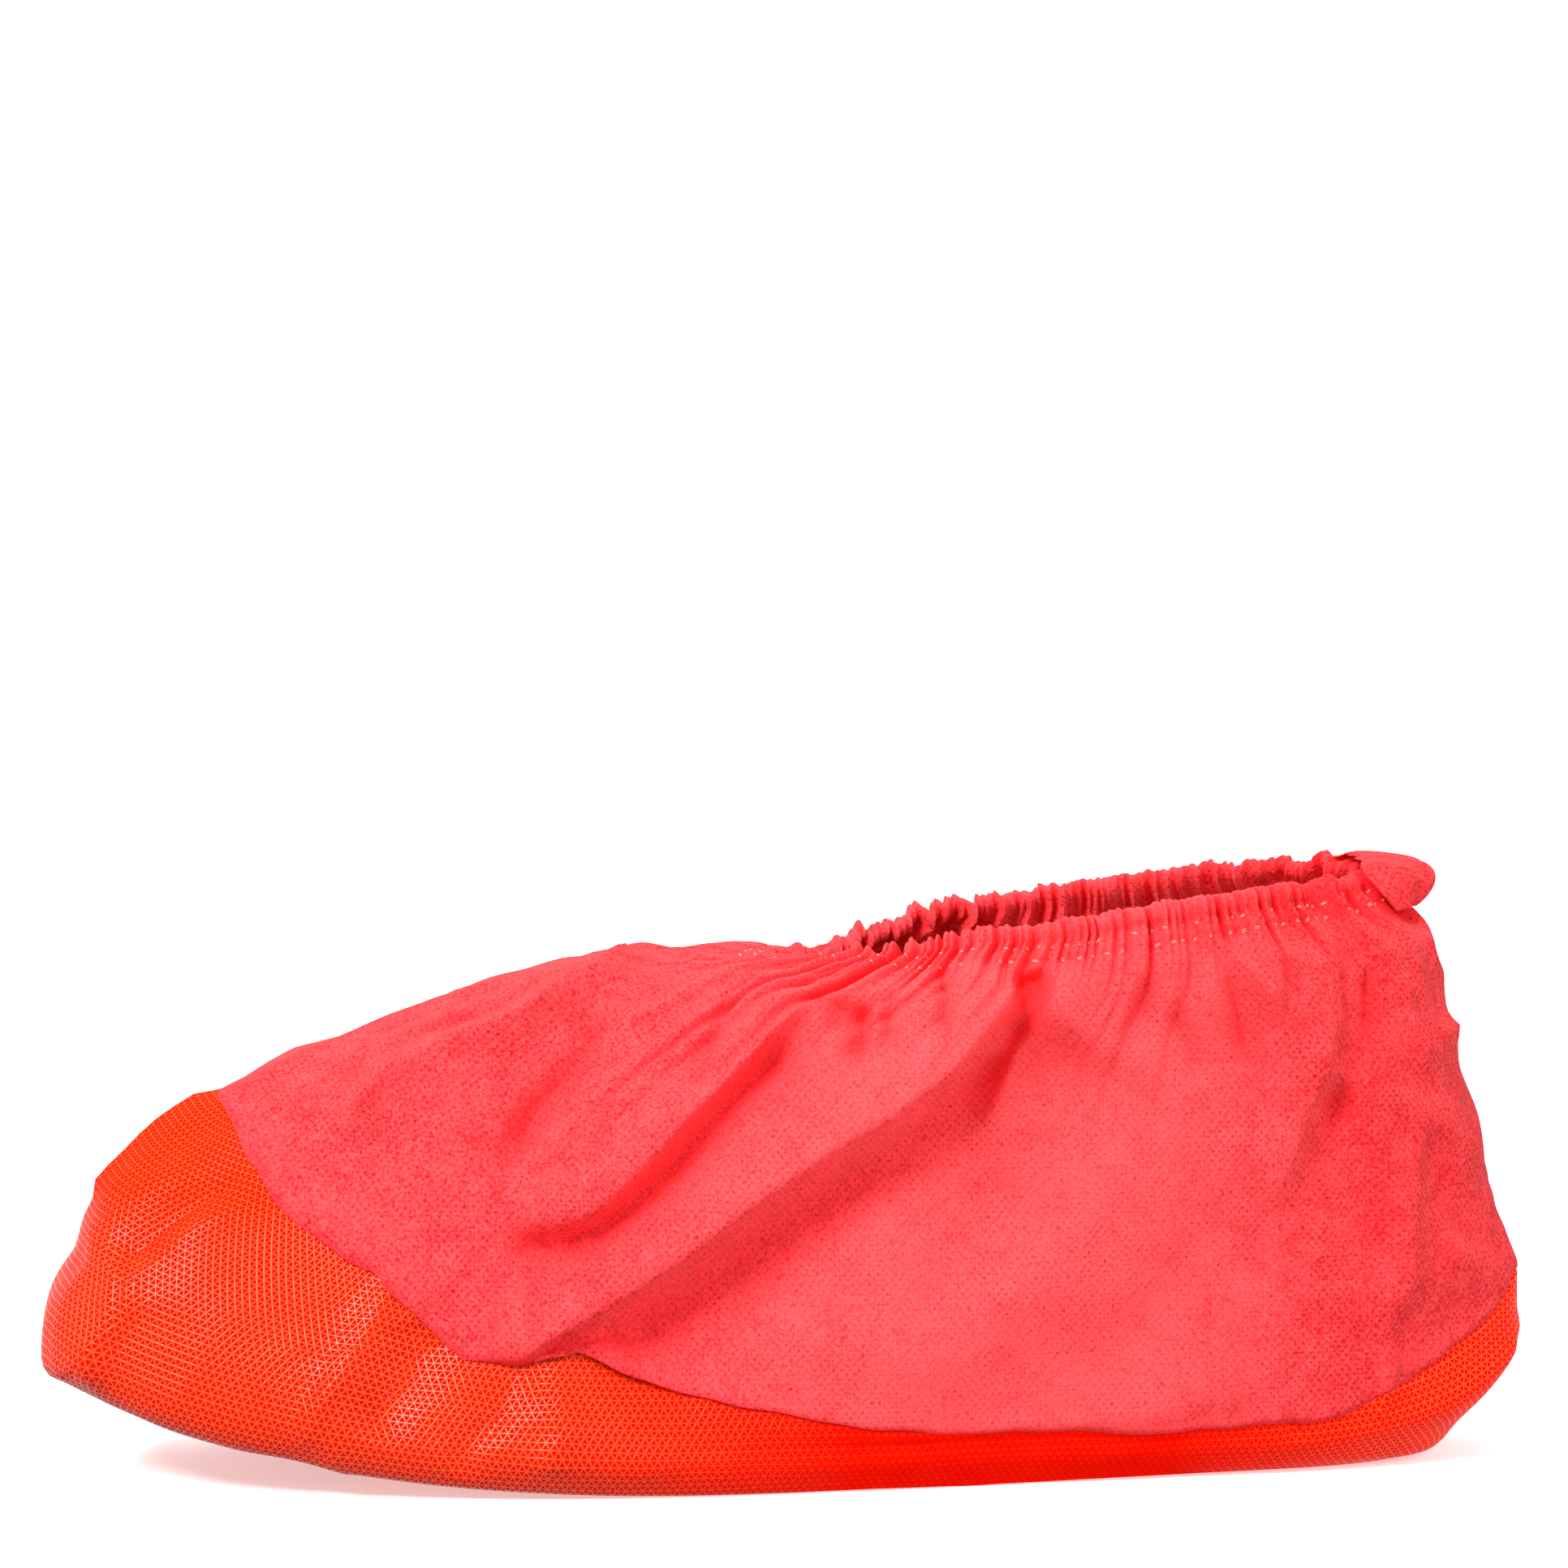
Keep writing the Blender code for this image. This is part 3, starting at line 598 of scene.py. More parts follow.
def pleats(share, gather):
    """Uneven pleats round the ring with round ridges and sharp valleys, from -1 to 1."""
    stray = ripple(share, gather.seed, PLEAT_STRAY_LOBES, PLEAT_STRAY_SLOPE)
    phase = gather.count * share + PLEAT_STRAY * stray
    strength = PLEAT_MEAN + PLEAT_SPREAD * ripple(share, gather.seed + 1, gather.count // 2, 0.0)
    return (2 * np.abs(np.sin(math.pi * phase)) - 1) * np.clip(strength, *PLEAT_LIMITS)


def slack_back(angles):
    """0 at the middle of the back, where the seam's slack lies unpleated, and 1 away from it."""
    from_back = np.abs((angles + math.pi) % (2 * math.pi) - math.pi)
    return smooth_step(*GATHER_SLACK_BACK, from_back)


def gather_height(angles, share, below):
    """How far the gathers lift or sink the cloth at this depth below the collar."""
    forward = -np.cos(angles)
    total = np.zeros(np.broadcast(share, below).shape)
    for gather in GATHERS:
        stray = ripple(share, gather.seed + 2, GATHER_REACH_LOBES, GATHER_REACH_SLOPE)
        reach = np.clip(GATHER_REACH + GATHER_REACH_SPREAD * stray, *GATHER_REACH_LIMITS)
        reach = reach * (1 + GATHER_LONG_FRONT * smooth_step(*GATHER_LONG_SPAN, forward))
        fade = np.exp(-((below / (gather.fall * reach)) ** GATHER_FALL_POWER))
        total = total + gather.depth * pleats(share, gather) * fade
    flatter = 1 - GATHER_SLACK_FRONT * smooth_step(*GATHER_SLACK_SPAN, forward)
    return total * (GATHER_LEAST + (1 - GATHER_LEAST) * slack_back(angles)) * flatter


@functools.lru_cache
def crease_ground():
    """Points spread all over the surface, on which the routes of the creases are laid."""
    angles = column_angles(GROUND_COLUMNS)
    return np.concatenate([columns_at(angles, step)[0] for step in GROUND_STEPS])


def route_on_surface(crease):
    """The route of a crease as points of the surface."""
    ground = crease_ground()
    first, second, seen = {
        "near": (0, 2, ground[:, 1] < FACE_OVERLAP),
        "far": (0, 2, ground[:, 1] > -FACE_OVERLAP),
        "heel": (1, 2, ground[:, 0] > END_FACE),
        "toe": (1, 2, ground[:, 0] < -END_FACE),
    }[crease.face]
    ground = ground[seen]
    places = []
    for a, b in np.array(crease.route) * MM:
        miss = (ground[:, first] - a) ** 2 + (ground[:, second] - b) ** 2
        places.append(ground[np.argmin(miss)])
    return np.array(places)


def crease_move(place, normal):
    """How the creases move these points of the surface."""
    points, normals = place.reshape(-1, 3), normal.reshape(-1, 3)
    move = np.zeros_like(points)
    for crease in CREASES:
        route = route_on_surface(crease)
        run = run_along(route)
        nearest = np.full(len(points), np.inf)
        offset, along = np.zeros(len(points)), np.zeros(len(points))
        aside = np.zeros_like(points)
        for start, end, before, after in zip(route, route[1:], run, run[1:]):
            line = end - start
            t = np.clip((points - start) @ line / (after - before) ** 2, 0, 1)
            away = points - start - t[:, None] * line
            distance = np.linalg.norm(away, axis=1)
            left = np.cross(normals, unit(line))
            closer = distance < nearest
            nearest[closer] = distance[closer]
            along[closer] = before + t[closer] * (after - before)
            offset[closer] = (np.sign(dot(away, left)) * distance)[closer]
            aside[closer] = left[closer]
        # Seen from outside, the heel lies to the left of a route down the near side
        heelward = offset if crease.face != "far" else -offset
        side = aside if crease.face != "far" else -aside
        reach = np.where(heelward > 0, crease.heelward, crease.toeward) * MM
        flank = np.sqrt((heelward / reach) ** 2 + crease.blunt**2) - crease.blunt
        fade_in, fade_out = np.array(crease.fades) * MM
        fades = smooth_step(0, fade_in, along) * smooth_step(0, fade_out, run[-1] - along)
        shape = np.exp(-FLANK_FALL * flank) * fades * MM
        move += (normals * crease.height + side * crease.drape) * shape[:, None]
    return move.reshape(place.shape)


def worn(cloth):
    """The surface as worn: folds, crumples and gathers on the smooth grid."""
    off_floor = smooth_step(*CREASE_FLOOR_FADE, cloth.place[..., 2])
    calm = off_floor * smooth_step(*CREASE_COLLAR_FADE, cloth.below)
    move = crease_move(cloth.place, cloth.normal) * calm[..., None]
    taut = 1 - SOLE_TAUT * (1 - smooth_step(*SOLE_TAUT_STEPS, np.asarray(cloth.steps))[:, None])
    height = crumple_height(cloth.place, cloth.below) * off_floor * taut
    height = height + gather_height(cloth.angles, cloth.share, cloth.below)
    return cloth.place + move + cloth.normal * height[..., None]


@functools.lru_cache
def upper_cloth():
    """The upper's grid and its worn points, up to the hem."""
    cloth = cloth_grid(column_angles(UPPER_COLUMNS), UPPER_STEPS)
    from_edge = cloth.below[0] - cloth.below
    places = worn(cloth)
    wave = np.zeros(UPPER_COLUMNS)
    for size, height, seed in EDGE_WAVES:
        wave += height * rumple(cloth.place[0], size * 2, seed)
    along, strays = np.array(NEAR_LAP).T
    near = 1 - smooth_step(0.0, NEAR_LAP_FADE, cloth.place[0, :, 1])
    wave += np.interp(cloth.place[0, :, 0], along, strays) * near
    slide = wave * (1 - smooth_step(0, LAP_STRAY_REACH, from_edge))
    proud = LAP_PROUD * (1 - smooth_step(0, LAP_REACH, from_edge))
    return cloth, places + cloth.square * slide[..., None] + cloth.normal * proud[..., None]


@functools.lru_cache
def hem_cloth():
    """The grid of the hem's stitched band and its worn points. Every other column meets one of the upper."""
    angles = column_angles(UPPER_COLUMNS)
    between = np.append(angles[1:], 2 * math.pi)
    angles = np.stack([angles, (angles + between) / 2], axis=-1).ravel()
    cloth = cloth_grid(angles, HEM_STEPS)
    places = worn(cloth)
    pinch = np.zeros_like(cloth.below)
    for depth in STITCH_ROWS:
        pinch -= STITCH_PINCH * np.exp(-(((cloth.below - depth) / STITCH_PINCH_REACH) ** 2))
    places = places + cloth.normal * pinch[..., None]
    _, upper = upper_cloth()
    places[0, ::2] = upper[-1]
    places[0, 1::2] = (upper[-1] + np.roll(upper[-1], -1, axis=0)) / 2
    return cloth, places


def grid_uv(cloth, base=0):
    """Cloth coordinates in metres: along the base row, and square to it. One more column closes."""
    loop = np.concatenate([cloth.place[base], cloth.place[base][:1]])
    run = run_along(loop)
    ahead = unit(np.roll(cloth.place[base], -1, axis=0) - np.roll(cloth.place[base], 1, axis=0))
    ahead = np.concatenate([ahead, ahead[:1]])
    uv = np.zeros((*cloth.place.shape[:2], 2))
    uv[base, :, 0] = run[:-1]
    rows = len(cloth.place)
    for i, j in [(i, i + 1) for i in range(base, rows - 1)] + [(i, i - 1) for i in range(base, 0, -1)]:
        move = cloth.place[j] - cloth.place[i]
        normal = unit(cloth.normal[i] + cloth.normal[j])
        at = uv[i, :, 0] % run[-1]
        grain = np.stack([np.interp(at, run, ahead[:, axis]) for axis in range(3)], axis=-1)
        grain = unit(grain - normal * dot(grain, normal)[:, None])
        uv[j] = uv[i] + np.stack([dot(move, grain), dot(move, np.cross(normal, grain))], axis=-1)
    return np.concatenate([uv, uv[:, :1] + [run[-1], 0]], axis=1)


def corners(grid):
    """What a grid holds at the four corners of every face."""
    return np.stack([grid[:-1, :-1], grid[:-1, 1:], grid[1:, 1:], grid[1:, :-1]], axis=2)


def ring(grid):
    """A grid with its first column again after the last."""
    return np.concatenate([grid, grid[:, :1]], axis=1)


def patch_uv(place, normal):
    """Cloth coordinates of the corners of every face, in patches laid flat along a few directions."""
    facing = unit(normal[:-1, :-1] + normal[:-1, 1:] + normal[1:, 1:] + normal[1:, :-1])
    turn = np.round(np.arctan2(facing[..., 1], facing[..., 0]) / PATCH_TURN) * PATCH_TURN
    tilt = np.round(np.arcsin(np.clip(facing[..., 2], -1, 1)) / PATCH_TURN) * PATCH_TURN
    across = np.stack([-np.sin(turn), np.cos(turn), np.zeros_like(turn)], axis=-1)
    upward = np.stack([-np.cos(turn) * np.sin(tilt), -np.sin(turn) * np.sin(tilt), np.cos(tilt)], axis=-1)
    spots = corners(place)
    return np.stack([dot(spots, across[:, :, None]), dot(spots, upward[:, :, None])], axis=-1)


def cloth_mesh(name, place, faces, corner_uv):
    """A smooth mesh with cloth coordinates at the corners of its faces."""
    mesh = bpy.data.meshes.new(name)
    mesh.from_pydata(place.reshape(-1, 3).tolist(), [], faces.reshape(-1, 4).tolist())
    layer = mesh.uv_layers.new(name="cloth")
    layer.data.foreach_set("uv", corner_uv.astype(np.float32).ravel())
    mesh.shade_smooth()
    return mesh


def sheet_mesh(name, place, corner_uv, closed=True):
    """A mesh over rows of points, with its cloth coordinates."""
    rows, columns = place.shape[:2]
    index = np.arange(rows * columns).reshape(rows, columns)
    return cloth_mesh(name, place, corners(ring(index) if closed else index), corner_uv)


def weld(mesh, distance=1e-5):
    """Joins points that lie on each other, such as the two sides along the spine of the tread."""
    shape = bmesh.new()
    shape.from_mesh(mesh)
    bmesh.ops.remove_doubles(shape, verts=shape.verts, dist=distance)
    shape.to_mesh(mesh)
    shape.free()


def add_piece(name, mesh, materials, replaces=()):
    """Adds a piece of the cover: it rides on the part's one body and stands for these nodes."""
    if len(mesh.polygons) == 0:
        raise RuntimeError(f"{name} has no faces")
    old = bpy.data.objects.get(name)
    if old is not None and "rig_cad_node" not in old:
        bpy.data.objects.remove(old)
    piece = bpy.data.objects.new(name, mesh)
    for material in materials:
        piece.data.materials.append(material)
    bpy.context.scene.collection.objects.link(piece)
    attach(piece, "root")
    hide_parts(*replaces)
    return piece


def add_wall(piece, thickness, offset=-1, inner_material=0):
    """Gives a sheet its thickness. The inner side may have another finish."""
    wall = piece.modifiers.new("Wall", "SOLIDIFY")
    wall.thickness = thickness
    wall.offset = offset
    wall.material_offset = inner_material


class Shade:
    """A value, vector or colour in a material. Arithmetic on values adds their Math nodes."""

    def __init__(self, tree, socket=None):
        self.tree = tree
        self.socket = socket

    def node(self, kind, settings=None, inputs=None, output=0):
        """Adds a node, with its settings first and then the values or links of its sockets."""
        made = self.tree.nodes.new(kind)
        for key, value in (settings or {}).items():
            setattr(made, key, value)
        for key, value in (inputs or {}).items():
            self.feed(made.inputs[key], value)
        return Shade(self.tree, made.outputs[output])

    def feed(self, socket, value):
        if isinstance(value, Shade):
            self.tree.links.new(value.socket, socket)
        else:
            socket.default_value = value

    def maths(self, operation, *values):
        return self.node("ShaderNodeMath", {"operation": operation}, dict(enumerate(values)))

    def __add__(self, other):
        return self.maths("ADD", self, other)

    def __sub__(self, other):
        return self.maths("SUBTRACT", self, other)

    def __rsub__(self, other):
        return self.maths("SUBTRACT", other, self)

    def __mul__(self, other):
        return self.maths("MULTIPLY", self, other)

    def __truediv__(self, other):
        return self.maths("DIVIDE", self, other)

    def __rtruediv__(self, other):
        return self.maths("DIVIDE", other, self)

    def __pow__(self, other):
        return self.maths("POWER", self, other)

    def __abs__(self):
        return self.maths("ABSOLUTE", self)

    __radd__ = __add__
    __rmul__ = __mul__

    def within(self):
        """The value kept from 0 to 1."""
        return self.node("ShaderNodeClamp", {}, {"Value": self})

    def cell(self):
        """The value's distance from the middle of its whole step, from -0.5 to 0.5."""
        return self.maths("FRACT", self) - 0.5

    def least(self, other):
        return self.maths("MINIMUM", self, other)

    def most(self, other):
        return self.maths("MAXIMUM", self, other)

    def noise(self, place, texture, dimensions="3D", output=0):
        """Noise from 0 to 1, or with output 1 as three values."""
        return self.node(
            "ShaderNodeTexNoise", {"noise_dimensions": dimensions},
            {"Vector": place, "Scale": 1 / texture.size, "Detail": texture.detail,
             "Roughness": texture.roughness, "Distortion": texture.distortion},
            output,
        )

    def axis(self, place, number):
        """One coordinate of a place: 0, 1 or 2 for x, y or z."""
        return self.node("ShaderNodeSeparateXYZ", {}, {0: place}, number)

    def vector(self, operation, *values, **inputs):
        return self.node("ShaderNodeVectorMath", {"operation": operation}, dict(enumerate(values)) | inputs)

    def cloth_place(self):
        """Coordinates on the cloth, in metres."""
        return self.node("ShaderNodeUVMap", {"uv_map": "cloth"})

    def space_place(self):
        """Coordinates in the cover's own frame, in metres."""
        return self.node("ShaderNodeTexCoord", output=3)

    def rise(self, start, length):
        """0 at start, and 1 from this length after it, or before it if the length is negative."""
        return ((self - start) / length).within()

    def bump(self, height):
        return self.node("ShaderNodeBump", {}, {"Strength": 1.0, "Distance": 1.0, "Height": height})

    def blend(self, share, first, second):
        """A colour from first, at 0, to second, at 1."""
        return self.node(
            "ShaderNodeMix", {"data_type": "RGBA"}, {"Factor": share, 6: first, 7: second}, output=2
        )


def start_material(name):
    """A fresh material, its shader node and the start of its expressions."""
    old = bpy.data.materials.get(name)
    if old is not None:
        bpy.data.materials.remove(old)
    material = bpy.data.materials.new(name)
    material.use_nodes = True
    return material, material.node_tree.nodes["Principled BSDF"], Shade(material.node_tree)


def opaque(colour):
    return (*colour, 1.0)


def nonwoven_material():
    """Spunbonded cloth: fibres in a cloudy web, pressed together in staggered bond points."""
    known = bpy.data.materials.get("nonwoven_web")
    if known is not None:
        return known
    look = bpy.context.scene.boot_cover_finish
    material, shader, shade = start_material("nonwoven_web")
    place, spot = shade.cloth_place(), shade.space_place()
    stray = shade.vector("SUBTRACT", shade.noise(place, BOND_STRAY, "2D", 1), (0.5, 0.5, 0.5))
    place = shade.vector("ADD", place, shade.vector("SCALE", stray, Scale=BOND_STRAY_REACH))
    across = shade.axis(place, 0) / look.bond_pitch
    upward = shade.axis(place, 1) / (look.bond_pitch * BOND_ROW_PITCH)
    first = across.cell() ** 2 + upward.cell() ** 2
    second = (across + 0.5).cell() ** 2 + (upward + 0.5).cell() ** 2
    patch = (shade.noise(spot, PATCHES) * PATCH_EDGE - PATCH_LEVEL).within()
    bond = (1 - first.least(second) / BOND_AREA).within() * (BOND_STRENGTH + patch * BOND_PATCHY)
    pinhole = ((shade.noise(spot, PINHOLES) - PINHOLE_LEVEL) * PINHOLE_EDGE).within()
    mottle = bond * -BOND_TONE - pinhole * (PINHOLES.tone + patch * PINHOLE_PATCHY)
    height = bond * -BOND_DEPTH - pinhole * PINHOLES.relief
    for texture in WEBS:
        noise = shade.noise(spot, texture)
        mottle = mottle + (noise - 0.5) * texture.tone
        height = height + noise * texture.relief
    length, deeper, strength = shade.axis(spot, 0), 0.0, CLOTH_MOTTLE
    # The heel's deeper tone is painted shade
    for zone in (HEEL_PAINTED_SHADE_ZONE, VAMP_ZONE):
        inside = length.rise(zone.start, zone.length)
        deeper = inside * zone.deeper + deeper
        strength = inside * zone.mottle + strength
    tone = (CLOTH_TONE + mottle * strength - deeper).within()
    colour = shade.blend(tone, opaque(look.coral_deep), opaque(look.coral))
    # Painted shade: ambient occlusion blends the colour to a deeper red deep in the folds
    open_air = shade.node(
        "ShaderNodeAmbientOcclusion", {"samples": PAINTED_SHADE_SAMPLES}, {"Distance": PAINTED_SHADE_REACH}, output=1
    )
    hollow = ((1 - open_air) * PAINTED_SHADE_GAIN).within()
    shade.feed(shader.inputs["Base Color"], shade.blend(hollow, colour, opaque(look.coral_painted_fold_shade)))
    shade.feed(shader.inputs["Roughness"], CLOTH_ROUGHNESS - bond * BOND_POLISH)
    shade.feed(shader.inputs["Normal"], shade.bump(height))
    shader.inputs["Specular IOR Level"].default_value = CLOTH_SPECULAR
    shader.inputs["Sheen Weight"].default_value = SHEEN
    shader.inputs["Sheen Roughness"].default_value = SHEEN_ROUGHNESS
    shader.inputs["Sheen Tint"].default_value = opaque(SHEEN_TINT)
    return material


def coating_material():
    """Coated sole cloth: a lattice of thin ridges, glossy at the toe and heel and matt in the waist, with a
    painted highlight on the ridges.
    """
    look = bpy.context.scene.boot_cover_finish
    material, shader, shade = start_material("embossed_coating_film")
    place, spot = shade.cloth_place(), shade.space_place()
    across, upward = shade.axis(place, 0), shade.axis(place, 1)
    row = look.emboss_side * math.sqrt(3) / 2
    edge = None
    for turn in LATTICE_TURNS:
        line = across * (-math.sin(turn) / row) + upward * (math.cos(turn) / row)
        near = abs(line.cell())
        edge = near if edge is None else edge.most(near)
    line = (1 - (0.5 - edge) * (row / look.emboss_width)).within()
    ridge = line * (2 - line)
    press, grain, film = (shade.noise(place, texture) for texture in (PRESS, GRAIN, FILM))
    length = shade.axis(spot, 0)
    toe = length.rise(*COATED_TOE)
    ends = toe.most(length.rise(*COATED_HEEL))
    gloss = ends * (1 - shade.axis(spot, 2).rise(*DULL_TOP) * DULL_TOP_SHARE)
    gloss = gloss * (1 - length.rise(*DULL_HEEL) * DULL_HEEL_SHARE)
    depth = (PRESS_LEAST + press * PRESS_GAIN) * look.emboss_depth
    bump = shade.bump(ridge * depth + grain * GRAIN.relief + film * FILM.relief)
    deep = shade.blend(toe, opaque(look.coating_waist), opaque(look.coating_deep))
    # Painted highlight on the ridges, beside the film's own mottle
    tone = (film - 0.5) * FILM.tone + line * line * (RIDGE_PAINTED_HIGHLIGHT + ends * RIDGE_PAINTED_HIGHLIGHT_ENDS)
    colour = shade.blend(tone.within(), deep, opaque(look.coating_pale_film_and_highlight))
    roughness = GLOSS_ROUGHNESS + (press - 0.5) * GLOSS_PRESS + (grain - 0.5) * GLOSS_GRAIN
    shade.feed(shader.inputs["Base Color"], colour)
    shade.feed(shader.inputs["Roughness"], roughness)
    shade.feed(shader.inputs["Normal"], bump)
    shader.inputs["Specular IOR Level"].default_value = GLOSS_SPECULAR
    matt = shade.node(
        "ShaderNodeBsdfPrincipled", {},
        {"Base Color": colour, "Roughness": MATT_ROUGHNESS, "Specular IOR Level": 0.0, "Normal": bump},
    )
    glossy = Shade(shade.tree, shader.outputs[0])
    mixed = shade.node("ShaderNodeMixShader", {}, {0: gloss * ridge, 1: matt, 2: glossy})
    shade.feed(shade.tree.nodes["Material Output"].inputs["Surface"], mixed)
    return material


def thread_material():
    """Pale polyester sewing thread with a twist."""
    look = bpy.context.scene.boot_cover_finish
    material, shader, shade = start_material("pale_thread")
    place = shade.cloth_place()
    twist = abs((shade.axis(place, 0) / TWIST_ALONG + shade.axis(place, 1) / TWIST_ROUND).cell()) * 2
    # Painted shade: the grooves of the twist turn darker, and the fuzz varies the tone at random
    tone = (THREAD_TONE + twist * TWIST_TONE + (shade.noise(place, FUZZ) - 0.5) * FUZZ.tone).within()
    colour = shade.blend(tone, opaque(look.thread_painted_shade_and_fuzz), opaque(look.thread))
    shade.feed(shader.inputs["Base Color"], colour)
    shade.feed(shader.inputs["Roughness"], THREAD_ROUGHNESS - twist * TWIST_POLISH)
    shade.feed(shader.inputs["Normal"], shade.bump(twist * TWIST_HEIGHT))
    return material


def floor_material():
    """Pale matt paper floor."""
    look = bpy.context.scene.boot_cover_studio
    material, shader, shade = start_material("paper_floor")
    mottle = shade.noise(shade.space_place(), FLOOR_MOTTLE)
    pale, shaded = opaque(look.floor), opaque([part * FLOOR_SHADE for part in look.floor])
    shade.feed(shader.inputs["Base Color"], shade.blend(mottle, pale, shaded))
    shade.feed(shader.inputs["Roughness"], FLOOR_ROUGHNESS + mottle * FLOOR_ROUGHNESS_SPREAD)
    shader.inputs["Emission Color"].default_value = pale
    shader.inputs["Emission Strength"].default_value = FLOOR_GLOW
    return material


def sole_points():
    """Rows of the sole from the spine of the tread to under the upper's lap, and their cloth coordinates."""
    cloth = cloth_grid(column_angles(SOLE_COLUMNS), SOLE_STEPS)
    wall = worn(cloth)
    under = smooth_step(*LAP_UNDER_STEPS, np.array(SOLE_STEPS))
    wall = wall - cloth.normal * (under * LAP_UNDER)[:, None, None]
    tread = wall[0]
    middle = (tread[:, 0].max() + tread[:, 0].min()) / 2
    spine = tread * [SPINE_SHARE, 0, 0] + [middle * (1 - SPINE_SHARE), 0, 0]
    bottom = np.stack([spine + (tread - spine) * share for share in BOTTOM_SHARES])
    flat = ring(np.concatenate([bottom, tread[None]])[..., :2])
    place = np.concatenate([bottom, wall])
    place[..., 2] = np.maximum(place[..., 2], 0.0)
    return place, np.concatenate([corners(flat), corners(grid_uv(cloth, SOLE_GRAIN_ROW))])


def hem_points():
    """Rows of the hem: its stitched band, then over the elastic and down the turned-in flap."""
    cloth, places = hem_cloth()
    top, out, up = places[-1], cloth.normal[-1], cloth.square[-1]
    fine = pleats(cloth.share, RIM_PLEATS) * RIM_PLEATS.depth
    lift_height, lobes, slope, seed = RIM_LIFT
    lift = lift_height * ripple(cloth.share, seed, lobes, slope) + fine
    rows = []
    for outward, upward in HEM_ROLL:
        over = np.clip(upward / RIM_FULL_HEIGHT, 0, 1)
        push = outward + fine * over * (1 if outward >= 0 else -1)
        rows.append(top + out * push[:, None] + up * (upward + lift * over)[:, None])
    rows += [places[row] + cloth.normal[row] * inward for row, inward in HEM_FLAP]
    place = np.concatenate([places[:-1], np.stack(rows)])
    normal = np.concatenate([cloth.normal[:-1], np.broadcast_to(out, (len(rows), *out.shape))])
    return place, patch_uv(ring(place), ring(normal))


def tuck_points():
    """Rows of the pouch of slack cloth at the back seam."""
    angles = np.linspace(-TUCK_HALF_ANGLE, TUCK_HALF_ANGLE, TUCK_COLUMNS)
    across = angles / TUCK_HALF_ANGLE
    middle = (1 - across**2) ** TUCK_TAPER
    outward = np.stack([np.cos(angles), np.sin(angles), np.zeros(TUCK_COLUMNS)], axis=-1)
    keys = np.arange(len(TUCK_ROWS))
    lines = np.linspace(0, keys[-1], TUCK_LINES)
    profile = np.stack([np.interp(lines, keys, values) for values in zip(*TUCK_ROWS)], axis=-1)
    for _ in range(TUCK_SOFTENINGS):
        profile[1:-1] = (profile[:-2] + 2 * profile[1:-1] + profile[2:]) / 4
    rows = []
    for line, (step, out, lift) in zip(lines, profile):
        place, _ = columns_at(angles, step)
        phase = TUCK_PLEAT_WAVES * math.pi * across + TUCK_PLEAT_STRAY * math.sin(line)
        pleat = TUCK_PLEAT * np.sin(phase) * middle
        push = TUCK_CLEAR + (out - TUCK_CLEAR) * middle + pleat
        raised = lift * (TUCK_EDGE_LIFT + (1 - TUCK_EDGE_LIFT) * middle)
        rows.append(place + outward * push[:, None] + raised[:, None] * [0, 0, 1])
    place = np.stack(rows)
    return place, patch_uv(place, np.broadcast_to(outward, place.shape))


def stitch_points():
    """Rings of points along every stitch: each arches over the cloth and dips into it at its ends."""
    sizes = bpy.context.scene.boot_cover_sizes
    pitch, thread = sizes.stitch_pitch, sizes.stitch_thread
    cloth, places = hem_cloth()
    rng = np.random.default_rng(STITCH_SEED)
    ends = np.linspace(-1, 1, STITCH_RINGS)
    turns = np.arange(STITCH_SIDES) / STITCH_SIDES * 2 * math.pi
    arch = thread * (STITCH_ARCH - STITCH_DIP * np.abs(ends) ** 3)
    thick = (thread / 2 * (1 + STITCH_TIP - ends**2) ** 0.25)[:, None, None]
    stitches = []
    for depth in STITCH_ROWS:
        line = np.stack([
            [np.interp(-depth, -cloth.below[:, c], places[:, c, axis]) for axis in range(3)]
            for c in range(HEM_COLUMNS)
        ])
        looped = np.concatenate([line, line[:1]])
        run = run_along(looped)
        out = np.concatenate([cloth.normal[-1], cloth.normal[-1][:1]])
        at = rng.random() * pitch
        while at < run[-1] - pitch:
            if rng.random() < STITCH_HIDDEN:
                at += pitch
                continue
            spots = at + sizes.stitch_length / 2 * rng.uniform(*STITCH_LENGTHS) * ends
            tilt = rng.uniform(-STITCH_TILT, STITCH_TILT)
            centre = np.stack([np.interp(spots, run, looped[:, i]) for i in range(3)], axis=-1)
            normal = unit(np.stack([np.interp(spots, run, out[:, i]) for i in range(3)], axis=-1))
            up = unit(np.cross(unit(centre[-1] - centre[0]), normal))
            centre = centre + normal * arch[:, None] + up * (tilt * ends)[:, None]
            rounds = np.cos(turns)[:, None] * up[:, None] + np.sin(turns)[:, None] * normal[:, None]
            tube = centre[:, None] + thick * rounds
            spread = up[:, None] * thread * rng.uniform(*STITCH_SPREADS)
            stitches += [tube + spread, tube - spread]
            at += pitch * rng.uniform(*STITCH_GAPS)
    return np.stack(stitches)


def length_property(name, description, default):
    return bpy.props.FloatProperty(name=name, description=description, default=default, unit="LENGTH")


def angle_property(name, description, default):
    return bpy.props.FloatProperty(name=name, description=description, default=default, subtype="ANGLE")


def strength_property(name, description, default):
    return bpy.props.FloatProperty(name=name, description=description, default=default)


def colour_property(name, description, default):
    return bpy.props.FloatVectorProperty(
        name=name, description=description, default=default, subtype="COLOR"
    )


